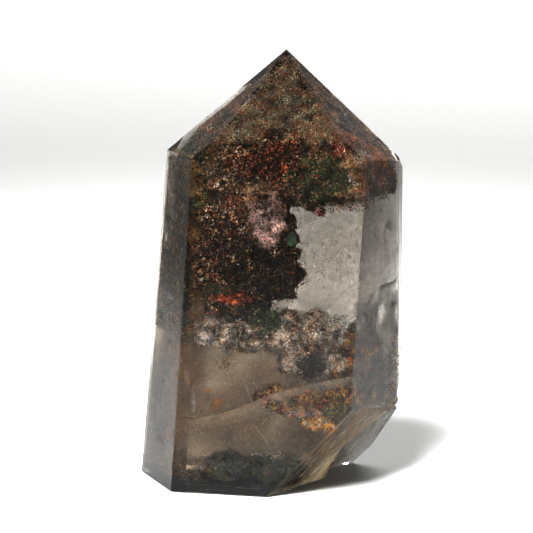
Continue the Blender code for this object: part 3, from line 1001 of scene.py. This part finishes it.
def even_smoke():
    """The faint smoky tint of the whole crystal."""
    bm = quartz_block(SMOKE_INSET, SMOKE_INSET)
    point, normal = facet_plane(*SCAR_FACET)
    cut_away(bm, point - normal * SMOKE_INSET, normal)
    wear(finish_object("even_smoke", bm, smoke_material("even_smoke", QUARTZ_TINT, QUARTZ_DENSITY)),
         "clear_quartz")


def smoky_zone(name, place, radii, tint, density):
    """A smoky zone inside the quartz."""
    bm = bmesh.new()
    add_lump(bm, place, radii, SMOKE_DETAIL)
    cut_inside(bm)
    wear(finish_object(name, bm, smoke_material(name, tint, density)), "clear_quartz")


# Mineral masses

def phantom_cap(bm):
    """Add the tip's smaller copy, cut off flat below, to a shape."""
    cap = quartz_block(PHANTOM_INSET, PHANTOM_LEFT_INSET)
    cut_away(cap, Vector((0.0, 0.0, PHANTOM_CAP_FLOOR)), Vector((0.0, 0.0, -1.0)))
    mesh = bpy.data.meshes.new("cap")
    cap.to_mesh(mesh)
    cap.free()
    bm.from_mesh(mesh)
    bpy.data.meshes.remove(mesh)


def ragged_lumps(rng, lumps, count):
    """Small lumps round the main ones, so that a mass ends in a ragged edge."""
    places, radii = [], []
    for place, reach in lumps:
        spots = unit_vectors(rng, count) * np.array(reach)
        places.append(np.array(place) + spots * rng.uniform(*RAGGED_SPREAD, size=(count, 1)))
        radii.append(rng.uniform(*RAGGED_RADII, size=count))
    places, radii = np.concatenate(places), np.concatenate(radii)
    kept = depth_inside(places) > radii + RAGGED_MARGIN
    return [(tuple(place), (size, size, size * RAGGED_SQUASH))
            for place, size in zip(places[kept], radii[kept])]


def lump_mesh(lumps, template):
    """The points and faces of many ellipsoids."""
    points, faces = template
    places = np.array([place for place, reach in lumps])
    reaches = np.array([reach for place, reach in lumps])
    all_points = points[None] * reaches[:, None] + places[:, None]
    offsets = len(points) * np.arange(len(lumps))
    all_faces = faces[None] + offsets[:, None, None]
    return all_points.reshape(-1, 3), all_faces.reshape(-1, 3)


def mineral_mass(name, rng, lumps, relief, material, capped=False):
    """A sealed mass in its CAD node's place, with a ragged edge and a pebbled skin."""
    bm = bmesh.new()
    if capped:
        phantom_cap(bm)
    for place, radii in lumps:
        add_lump(bm, place, radii)
    points, faces = lump_mesh(ragged_lumps(rng, lumps, RAGGED_COUNT), TEMPLATES["ball"])
    mesh = bpy.data.meshes.new("ragged")
    mesh.from_pydata(points.tolist(), [], faces.tolist())
    bm.from_mesh(mesh)
    bpy.data.meshes.remove(mesh)
    mass = finish_object(name, bm, material)
    add_relief(mass, MASS_VOXEL, *relief)
    add_relief(mass, 0.0, PEBBLE_RELIEF, PEBBLE_GRAIN, "VORONOI")
    bake_modifiers(mass)
    return mass


# Grains

def triangles_of(bm):
    """A small template's points and triangles."""
    bmesh.ops.triangulate(bm, faces=bm.faces[:])
    bmesh.ops.recalc_face_normals(bm, faces=bm.faces[:])
    bm.verts.ensure_lookup_table()
    points = np.array([vert.co for vert in bm.verts])
    faces = np.array([[vert.index for vert in face.verts] for face in bm.faces])
    bm.free()
    return points, faces


def nub_template(detail=1):
    """A rounded grain."""
    bm = bmesh.new()
    bmesh.ops.create_icosphere(bm, subdivisions=detail, radius=1.0)
    return triangles_of(bm)


def shard_template():
    """A pointed grain."""
    bm = bmesh.new()
    bmesh.ops.create_uvsphere(bm, u_segments=4, v_segments=2, radius=1.0)
    return triangles_of(bm)


def block_template():
    """A blocky grain."""
    bm = bmesh.new()
    bmesh.ops.create_cube(bm, size=BLOCK_WIDTH)
    return triangles_of(bm)


def mote_template():
    """The least grain: four points, four faces."""
    bm = bmesh.new()
    for corner in ((1, 1, 1), (1, -1, -1), (-1, 1, -1), (-1, -1, 1)):
        bm.verts.new(Vector(corner).normalized())
    bmesh.ops.convex_hull(bm, input=bm.verts[:])
    return triangles_of(bm)


TEMPLATES = {
    "mote": mote_template(),
    "ball": nub_template(RAGGED_DETAIL),
    "nub": nub_template(),
    "shard": shard_template(),
    "block": block_template(),
}


def random_turns(rng, count):
    """Evenly spread random rotations, as matrices."""
    quaternions = rng.normal(size=(count, 4))
    quaternions /= np.linalg.norm(quaternions, axis=1, keepdims=True)
    w, x, y, z = quaternions.T
    rows = (
        (1 - 2 * (y * y + z * z), 2 * (x * y - z * w), 2 * (x * z + y * w)),
        (2 * (x * y + z * w), 1 - 2 * (x * x + z * z), 2 * (y * z - x * w)),
        (2 * (x * z - y * w), 2 * (y * z + x * w), 1 - 2 * (x * x + y * y)),
    )
    return np.array(rows).transpose(2, 0, 1)


def grain_points(rng, template, places, radii):
    """The points of a turned, stretched and dented copy of a template at each place."""
    points, faces = template
    count = len(places)
    dents = rng.uniform(*GRAIN_DENTS, size=(count, len(points), 1))
    stretch = rng.uniform(GRAIN_SQUASH, 1.0, size=(count, 1, 3))
    shapes = points[None] * dents * stretch * radii[:, None, None]
    return np.einsum("nij,nkj->nki", random_turns(rng, count), shapes) + places[:, None]


def mesh_from_arrays(name, points, faces, material):
    """A mesh object from arrays of points in millimetres and of triangles."""
    matrix = np.array(TO_PART)
    points = points @ matrix[:3, :3].T + matrix[:3, 3]
    mesh = bpy.data.meshes.new(name)
    mesh.vertices.add(len(points))
    mesh.vertices.foreach_set("co", points.astype(np.float32).ravel())
    mesh.loops.add(faces.size)
    mesh.loops.foreach_set("vertex_index", faces.astype(np.int32).ravel())
    mesh.polygons.add(len(faces))
    mesh.polygons.foreach_set("loop_start", np.arange(0, faces.size, 3, dtype=np.int32))
    mesh.update(calc_edges=True)
    mesh.materials.append(material)
    return new_object(name, mesh)


def make_grains(name, rng, places, radii, kinds, material, slot, margin=GRAIN_MARGIN):
    """One joined mesh of separate grains, with a share of each kind."""
    inside = depth_inside(places) > radii + margin
    places = places[inside]
    radii = radii[inside]
    chosen = rng.integers(0, len(kinds), size=len(places))
    all_points, all_faces, start = [], [], 0
    for index, kind in enumerate(kinds):
        mine = chosen == index
        points = grain_points(rng, TEMPLATES[kind], places[mine], radii[mine])
        faces = TEMPLATES[kind][1]
        per_grain = points.shape[1]
        offsets = start + per_grain * np.arange(len(points))
        all_points.append(points.reshape(-1, 3))
        all_faces.append((faces[None] + offsets[:, None, None]).reshape(-1, 3))
        start += per_grain * len(points)
    piece = mesh_from_arrays(
        name, np.concatenate(all_points), np.concatenate(all_faces), material)
    wear(piece, slot)
    return piece


def surface_places(rng, thing, count, lift):
    """Places spread over an object's skin, lifted off it a little, in millimetres."""
    mesh = thing.data
    mesh.calc_loop_triangles()
    corners = points_of(mesh)
    triangles = np.zeros(len(mesh.loop_triangles) * 3, dtype=np.int32)
    mesh.loop_triangles.foreach_get("vertices", triangles)
    a, b, c = (corners[triangles.reshape(-1, 3)[:, k]] for k in range(3))
    normals = np.cross(b - a, c - a)
    areas = np.linalg.norm(normals, axis=1)
    picks = rng.choice(len(areas), size=count, p=areas / areas.sum())
    u, v = rng.random((2, count))
    over = u + v > 1
    u[over], v[over] = 1 - u[over], 1 - v[over]
    spots = a[picks] + (b - a)[picks] * u[:, None] + (c - a)[picks] * v[:, None]
    outward = normals[picks] / areas[picks][:, None]
    return spots + outward * rng.uniform(*lift, size=count)[:, None]


def cloud_places(rng, place, radii, count):
    """Places inside an ellipsoid, denser towards its middle."""
    reach = rng.random(count) ** 0.5
    return np.array(place) + unit_vectors(rng, count) * reach[:, None] * np.array(radii)


def layer_places(rng, facet, low, high, depths, count):
    """Places in a box, within a range of depths under one facet."""
    point, normal = facet_plane(*FACETS[facet])
    chosen, found = [], 0
    while found < count:
        spots = rng.uniform(low, high, size=(LAYER_BATCH, 3))
        under = (np.array(point) - spots) @ np.array(normal)
        deep = depth_inside(spots)
        kept = spots[(under < depths[1]) & (deep > depths[0])]
        chosen.append(kept)
        found += len(kept)
    return np.concatenate(chosen)[:count]


def clumped(rng, places, patch, share):
    """Keep a share of the places, in clumps, by a slow wave through the crystal."""
    waves = np.zeros(len(places))
    for _ in range(CLUMP_WAVES):
        direction = unit_vectors(rng, 1)[0]
        waves += np.sin(places @ direction * (2 * math.pi / patch) + rng.uniform(0, 2 * math.pi))
    waves += rng.normal(scale=CLUMP_SCATTER, size=len(places))
    return places[waves > np.quantile(waves, 1 - share)]


def sizes(rng, count, low, high):
    """Radii between two limits, most of them near the smaller."""
    return low + (high - low) * rng.random(count) ** GRAIN_BIAS


def zone_reach(places, middle, extent, wobble):
    """How near places are to a zone's middle: 1 is the zone's edge, which wanders."""
    across = (places[:, 0] - middle[0]) / extent[0]
    up = (places[:, 2] - middle[1]) / extent[1]
    return np.hypot(across, up) + wobble


def edge_wobble(places):
    """Slow and quick waves that bend the zones' edges."""
    wobble = np.zeros(len(places))
    for (across, along, up), reach in EDGE_WAVES:
        wobble += reach * np.sin(places @ np.array((across, along, up)) + WAVE_PHASE * reach)
    return wobble


def points_of(mesh):
    """A mesh's points in millimetres round the tip's axis."""
    corners = np.zeros(len(mesh.vertices) * 3)
    mesh.vertices.foreach_get("co", corners)
    matrix = np.array(TO_PART.inverted())
    return corners.reshape(-1, 3) @ matrix[:3, :3].T + matrix[:3, 3]


def paint_mass(thing, colours):
    """Give a mass's points their ground colours."""
    layer = thing.data.color_attributes.new(TINT, "FLOAT_COLOR", "POINT")
    rgba = np.ones((len(colours), 4), np.float32)
    rgba[:, :3] = colours
    layer.data.foreach_set("color", rgba.ravel())


def zone_colours(places):
    """The phantom's ground colour at each place: zones run into one another at their edges."""
    colours = np.tile(np.array(DARK_BROWN), (len(places), 1))
    wobble = edge_wobble(places)
    for middle, extent, ground, _, _ in reversed(PHANTOM_ZONES.values()):
        share = (1.0 + ZONE_EDGE - zone_reach(places, middle, extent, wobble)) / ZONE_EDGE
        share = np.clip(share, 0.0, 1.0)[:, None]
        colours = colours * (1 - share) + np.array(ground) * share
    return colours


def phantom_pieces():
    """The phantom's body and the zones of grains that coat it."""
    rng = np.random.default_rng(PHANTOM_SEED)
    body = mineral_mass("phantom_body", rng, PHANTOM_LUMPS + PHANTOM_FRINGE, PHANTOM_RELIEF,
                        mass_material("phantom_body", PHANTOM_CELL, GARDEN_ACCENTS), capped=True)
    paint_mass(body, zone_colours(points_of(body.data)))
    wear(body, "chlorite_phantom", "chlorite_phantom")
    places = surface_places(rng, body, PHANTOM_SAMPLES, PHANTOM_LIFT)
    loose = surface_places(rng, body, PHANTOM_LOOSE, PHANTOM_LOOSE_LIFT)
    places = np.concatenate((places, loose))
    free = np.ones(len(places), bool)
    wobble = edge_wobble(places) + rng.normal(scale=ZONE_SCATTER, size=len(places))
    for name, (middle, extent, _, radii, colours) in PHANTOM_ZONES.items():
        mine = free & (zone_reach(places, middle, extent, wobble) < 1.0)
        free &= ~mine
        spots = places[mine]
        if len(spots):
            material = grain_material(name, colours, *GARDEN_PATCHES)
            make_grains("grains_" + name, rng, spots, sizes(rng, len(spots), *radii),
                        ("nub", "shard", "shard", "shard"), material, "chlorite_phantom")


def haze():
    """Dust under the tip's facets, in the left flank, and in the lower half."""
    rng = np.random.default_rng(HAZE_SEED)
    for name, row in HAZES.items():
        seed, facet, limits, depths, count, clumps, radii, colours, slot, patch = row
        if facet:
            places = layer_places(rng, facet, *limits, depths, count)
        else:
            places = cloud_places(rng, *limits, count)
        if clumps:
            places = clumped(rng, places, *clumps)
        own = np.random.default_rng(seed)
        make_grains(name, own, places, sizes(own, len(places), *radii), ("mote",),
                    grain_material(name, colours, patch, HAZE_SPREAD), slot)


def patch_colours(places, grounds):
    """Ground colours in patches, by the same waves that bend the zones' edges."""
    waves = edge_wobble(places * PATCH_STRETCH)
    step = np.clip((waves / PATCH_REACH + 1.0) / 2, 0.0, LAST_PATCH) * (len(grounds) - 1)
    first = step.astype(int)
    share = (step - first)[:, None]
    grounds = np.array(grounds)
    return grounds[first] * (1 - share) + grounds[first + 1] * share


def coated_mass(name, seed, node, lumps, relief, grounds, colours, count, radii):
    """A smaller mass and one coat of grains."""
    rng = np.random.default_rng(seed)
    body = mineral_mass(name + "_body", rng, lumps, relief,
                        mass_material(name + "_body", MASS_CELL, colours))
    paint_mass(body, patch_colours(points_of(body.data), grounds))
    wear(body, node, node)
    places = surface_places(rng, body, count, MASS_LIFT)
    make_grains("grains_" + name, rng, places, sizes(rng, len(places), *radii),
                ("nub", "shard", "block"),
                grain_material(name + "_grains", colours, *MASS_PATCHES), node)


# Veils

def veil_material(name, colour, cover, patch):
    """A thin milky veil that thins out to its rim, in soft patches."""
    material, tree, shader = new_material(name, 1.0)
    place = tree.nodes.new("ShaderNodeTexCoord")
    centre = add_node(
        tree, "ShaderNodeMapping", {"Location": (-1.0, 0.0, -1.0), "Scale": (2.0, 0.0, 2.0)},
        {"Vector": place.outputs["Generated"]})
    fall = add_node(tree, "ShaderNodeTexGradient", {}, {"Vector": centre.outputs["Vector"]})
    fall.gradient_type = "SPHERICAL"
    rim = map_range(tree, fall.outputs["Fac"], (0.0, VEIL_RIM), (0.0, cover))
    patches = map_range(tree, add_noise(tree, 1.0 / (patch * MM), VEIL_DETAIL), VEIL_SPAN)
    tree.links.new(product(tree, rim, patches), shader.inputs["Alpha"])
    shade = tree.nodes.new("ShaderNodeMix")
    shade.data_type = "RGBA"
    shade.inputs["A"].default_value = (*(channel * VEIL_DARKENING for channel in colour), 1.0)
    shade.inputs["B"].default_value = (*colour, 1.0)
    tree.links.new(add_noise(tree, VEIL_FLECKS, MOTTLE_DETAIL), shade.inputs["Factor"])
    tree.links.new(shade.outputs["Result"], shader.inputs["Base Color"])
    return material


def band_material(name, colour, cover, patch):
    """A pale translucent band, a little uneven."""
    material, tree, shader = new_material(name, BAND_ROUGHNESS)
    shader.inputs["Base Color"].default_value = (*colour, 1.0)
    noise = add_noise(tree, 1.0 / (patch * MM), BAND_DETAIL)
    alpha = map_range(tree, noise, BAND_SPAN, (cover * BAND_THIN, cover))
    tree.links.new(alpha, shader.inputs["Alpha"])
    return material


def ribbon_material():
    """The ribbon's band, which fades where its cover does."""
    material = band_material("ribbon", RIBBON_TAN, RIBBON_COVER, RIBBON_PATCH)
    tree = material.node_tree
    alpha = tree.nodes["Principled BSDF"].inputs["Alpha"]
    seen = tree.nodes.new("ShaderNodeAttribute")
    seen.attribute_name = COVER
    tree.links.new(product(tree, seen.outputs["Fac"], alpha.links[0].from_socket), alpha)
    return material


def milky_veil(name, seed, centre, size, turn, colour, cover, patch):
    """A thin rippled sheet inside the quartz, closed all round, cut short of the facets."""
    rng = np.random.default_rng(seed)
    bm = bmesh.new()
    place = Matrix.Translation(centre) @ Matrix.Rotation(math.radians(turn), 4, "Z")
    add_box(bm, place, Vector((size[0], VEIL_THICKNESS, size[1])))
    bmesh.ops.subdivide_edges(bm, edges=[edge for edge in bm.edges if edge.calc_length() > 1.0],
                              cuts=VEIL_CUTS, use_grid_fill=True)
    phases = rng.uniform(0, 2 * math.pi, size=len(VEIL_WAVES))
    for vert in bm.verts:
        x, _, z = vert.co
        vert.co.y += VEIL_RIPPLE * sum(
            height * math.sin(across * x + up * z + phase)
            for (height, across, up), phase in zip(VEIL_WAVES, phases))
    cut_inside(bm)
    wear(finish_object(name, bm, veil_material(name, colour, cover, patch)), "clear_quartz")


# Ribbon, cracks, flakes, veins and clusters

def plain_mineral(name, colour):
    """One mineral's colour, mottled."""
    material, tree, shader = new_material(name, FLAKE_ROUGHNESS)
    tint = tree.nodes.new("ShaderNodeRGB")
    tint.outputs["Color"].default_value = (*colour, 1.0)
    mottled = shade_by_noise(tree, tint.outputs["Color"], *FLAKE_SHADE)
    tree.links.new(mottled, shader.inputs["Base Color"])
    return material


def ribbon():
    """The old crystal face: a thin band, crisp above and soft below."""
    bm = bmesh.new()
    cover = bm.verts.layers.float.new(COVER)
    rings = []
    for (x, y, z), half in RIBBON_PATH:
        ring = []
        for side, up, seen in RIBBON_SECTION:
            vert = bm.verts.new((x, y + side * RIBBON_THICKNESS / 2, z + half * up))
            vert[cover] = seen
            ring.append(vert)
        rings.append(ring)
    for one, two in zip(rings, rings[1:]):
        for k in range(len(one)):
            after = (k + 1) % len(one)
            bm.faces.new((one[k], one[after], two[after], two[k]))
    bm.faces.new(rings[0][::-1])
    bm.faces.new(rings[-1])
    bmesh.ops.recalc_face_normals(bm, faces=bm.faces[:])
    bmesh.ops.subdivide_edges(bm, edges=bm.edges[:], cuts=2, smooth=RIBBON_SMOOTHING,
                              use_grid_fill=True)
    band = finish_object("ribbon", bm, ribbon_material())
    for face in band.data.polygons:
        face.use_smooth = True
    wear(band, "granular_veil")


def cracks():
    """Thin planes in the lower half, painted bright white as a painted glint."""
    bm = bmesh.new()
    for start, end in CRACKS:
        start, end = Vector(start), Vector(end)
        along = (end - start).normalized()
        across = along.cross(Vector((0.0, 1.0, 0.0)))
        turn = Matrix((along, Vector((0.0, 1.0, 0.0)), across)).transposed().to_4x4()
        size = Vector(((end - start).length, CRACK_DEPTH, CRACK_WIDTH))
        add_box(bm, Matrix.Translation((start + end) / 2) @ turn, size)
    material = band_material("cracks", CRACK_GLINT_WHITE, CRACK_COVER, CRACK_PATCH)
    wear(finish_object("cracks", bm, material), "clear_quartz")


def single_flake(name, place, radii, turn, colour, slot):
    """One larger flake: a thin bent lens with a ragged rim."""
    bm = bmesh.new()
    shape = (Matrix.Translation(place) @ Matrix.Rotation(math.radians(turn), 4, "Y")
             @ Matrix.Diagonal((*radii, 1.0)))
    bmesh.ops.create_icosphere(bm, subdivisions=SPHERE_DETAIL, radius=1.0, matrix=shape)
    flake = finish_object(name, bm, plain_mineral(name, colour))
    add_relief(flake, 0.0, *FLAKE_RELIEF)
    bake_modifiers(flake)
    wear(flake, slot)


def veins():
    """Rust-coloured grains strung along the right shoulder."""
    rng = np.random.default_rng(VEIN_SEED)
    places = []
    for points, scatter, count in RUST_VEINS:
        points = np.array(points)
        along = rng.uniform(0, len(points) - 1, size=count)
        spots = np.stack([np.interp(along, np.arange(len(points)), points[:, k]) for k in range(3)], 1)
        places.append(spots + rng.normal(scale=scatter, size=spots.shape))
    places = np.concatenate(places)
    make_grains("rust_veins", rng, places, sizes(rng, len(places), *VEIN_RADII),
                ("shard", "nub"), grain_material("rust_veins", VEIN_COLOURS), "chlorite_phantom")


def reach_of(points, middle, radii):
    """How far points lie from a lump's middle, in its own radii."""
    return np.linalg.norm((points - np.array(middle)) / np.array(radii), axis=1)


def crust():
    """The rough yellow-green and rusty skin of the chipped right-hand edge."""
    rng = np.random.default_rng(CRUST_SEED)
    low, high = (np.array(point) for point in CRUST_LINE)
    places = low + (high - low) * rng.random(CRUST_COUNT)[:, None] ** CRUST_FADE
    places += rng.normal(scale=CRUST_SCATTER, size=places.shape)
    depth = depth_inside(places)
    chips = np.min([reach_of(places, place, radii) for place, radii in EDGE_CHIPS], axis=0)
    kept = (depth > CRUST_DEPTHS[0]) & (depth < CRUST_DEPTHS[1]) & (chips > 1.0)
    places = places[kept]
    make_grains("edge_crust", rng, places, sizes(rng, len(places), *CRUST_RADII),
                ("shard", "nub", "block"), grain_material("edge_crust", CRUST_COLOURS, *CRUST_PATCHES),
                "limonite_pocket", -CRUST_STAND)


def scar_stains():
    """Rust and yellow-green stains along the edge between the healed break and the scar."""
    rng = np.random.default_rng(SCAR_STAIN_SEED)
    along = rng.random(SCAR_STAIN_COUNT)[:, None]
    start, end = (np.array(point) for point in SCAR_STAIN_LINE)
    places = start + (end - start) * along
    places += rng.normal(scale=SCAR_STAIN_SCATTER, size=places.shape)
    make_grains("scar_stains", rng, places, sizes(rng, len(places), *SCAR_STAIN_RADII),
                ("shard", "nub"), grain_material("scar_stains", CRUST_COLOURS, *STAIN_PATCHES),
                "limonite_pocket")


def clusters():
    """Small clusters of grains that stand out in the photo."""
    for index, (name, shape) in enumerate(CLUSTERS.items()):
        middle, reach, count, radii, colours, slot = shape
        rng = np.random.default_rng(CLUSTER_SEED + index)
        places = cloud_places(rng, middle, reach, count)
        make_grains(name, rng, places, sizes(rng, len(places), *radii), ("shard", "nub", "shard"),
                    grain_material(name, colours, *CLUSTER_PATCHES), slot)


# Stage

def floor():
    """A plain pale floor."""
    bpy.ops.mesh.primitive_plane_add(size=FLOOR_SIZE, location=(0.0, 0.0, -FLOOR_DROP * MM))
    plane = bpy.context.object
    plane.name = "floor"
    material, _, shader = new_material("floor", FLOOR_ROUGHNESS)
    shader.inputs["Base Color"].default_value = FLOOR_COLOUR
    shader.inputs["Specular IOR Level"].default_value = FLOOR_GLOSS
    plane.data.materials.append(material)


def sky():
    """Dim light from all round, a little brighter behind."""
    world = bpy.data.worlds.new("studio")
    bpy.context.scene.world = world
    world.use_nodes = True
    tree = world.node_tree
    place = tree.nodes.new("ShaderNodeTexCoord")
    parts = add_node(tree, "ShaderNodeSeparateXYZ", {}, {"Vector": place.outputs["Generated"]})
    glow = map_range(tree, parts.outputs["Y"], SKY_SPAN, SKY_RADIANCE)
    tree.links.new(glow, tree.nodes["Background"].inputs["Color"])


def softbox(name, place, aim, size, radiance, spread):
    """A wide soft light."""
    data = bpy.data.lights.new(name, "AREA")
    data.shape = "RECTANGLE"
    data.size, data.size_y = size
    data.energy = radiance * math.pi * data.size * data.size_y
    data.spread = math.radians(spread)
    box = new_object(name, data)
    box.location = place
    box.rotation_euler = (Vector(aim) - Vector(place)).to_track_quat("-Z", "Y").to_euler()


def camera():
    """The photo's view."""
    turn = math.radians(CAMERA_TURN)
    rise = math.radians(CAMERA_RISE)
    roll = math.radians(CAMERA_ROLL)
    back = Vector((math.sin(turn) * math.cos(rise), -math.cos(turn) * math.cos(rise),
                   math.sin(rise)))
    right = Vector((math.cos(turn), math.sin(turn), 0.0))
    up = back.cross(right)
    aim = TO_PART @ (right * CAMERA_AIM[0] + Vector((0.0, 0.0, CAMERA_AIM[1])))
    rolled_right = right * math.cos(roll) + up * math.sin(roll)
    rolled_up = up * math.cos(roll) - right * math.sin(roll)
    axes = Matrix((rolled_right, rolled_up, back)).transposed().to_4x4()
    data = bpy.data.cameras.new("camera")
    data.lens = CAMERA_LENS
    data.sensor_width = CAMERA_SENSOR
    data.clip_start = CAMERA_CLIP
    seat = new_object("camera", data)
    seat.matrix_world = Matrix.Translation(aim + back * CAMERA_DISTANCE * MM) @ axes
    bpy.context.scene.camera = seat


def light_paths():
    """Let light bounce often enough to cross the quartz and its veils."""
    scene = bpy.context.scene
    scene.view_settings.view_transform = "Standard"
    scene.view_settings.gamma = VIEW_GAMMA
    scene.cycles.max_bounces = 24
    scene.cycles.glossy_bounces = 14
    scene.cycles.transmission_bounces = 24
    scene.cycles.transparent_max_bounces = 32


camera()
clear_quartz()
phantom_pieces()
for index, (mass, shape) in enumerate(MASSES.items()):
    coated_mass(mass, MASS_SEED + index, *shape)
haze()
for index, (veil, shape) in enumerate(VEILS.items()):
    milky_veil(veil, VEIL_SEED + index, *shape)
ribbon()
cracks()
veins()
clusters()
crust()
scar_stains()
for flake, shape in FLAKES.items():
    single_flake(flake, *shape)
even_smoke()
for zone, shape in SMOKE_ZONES.items():
    smoky_zone(zone, *shape)
floor()
sky()
for light, setting in LIGHTS.items():
    softbox(light, *setting)
light_paths()
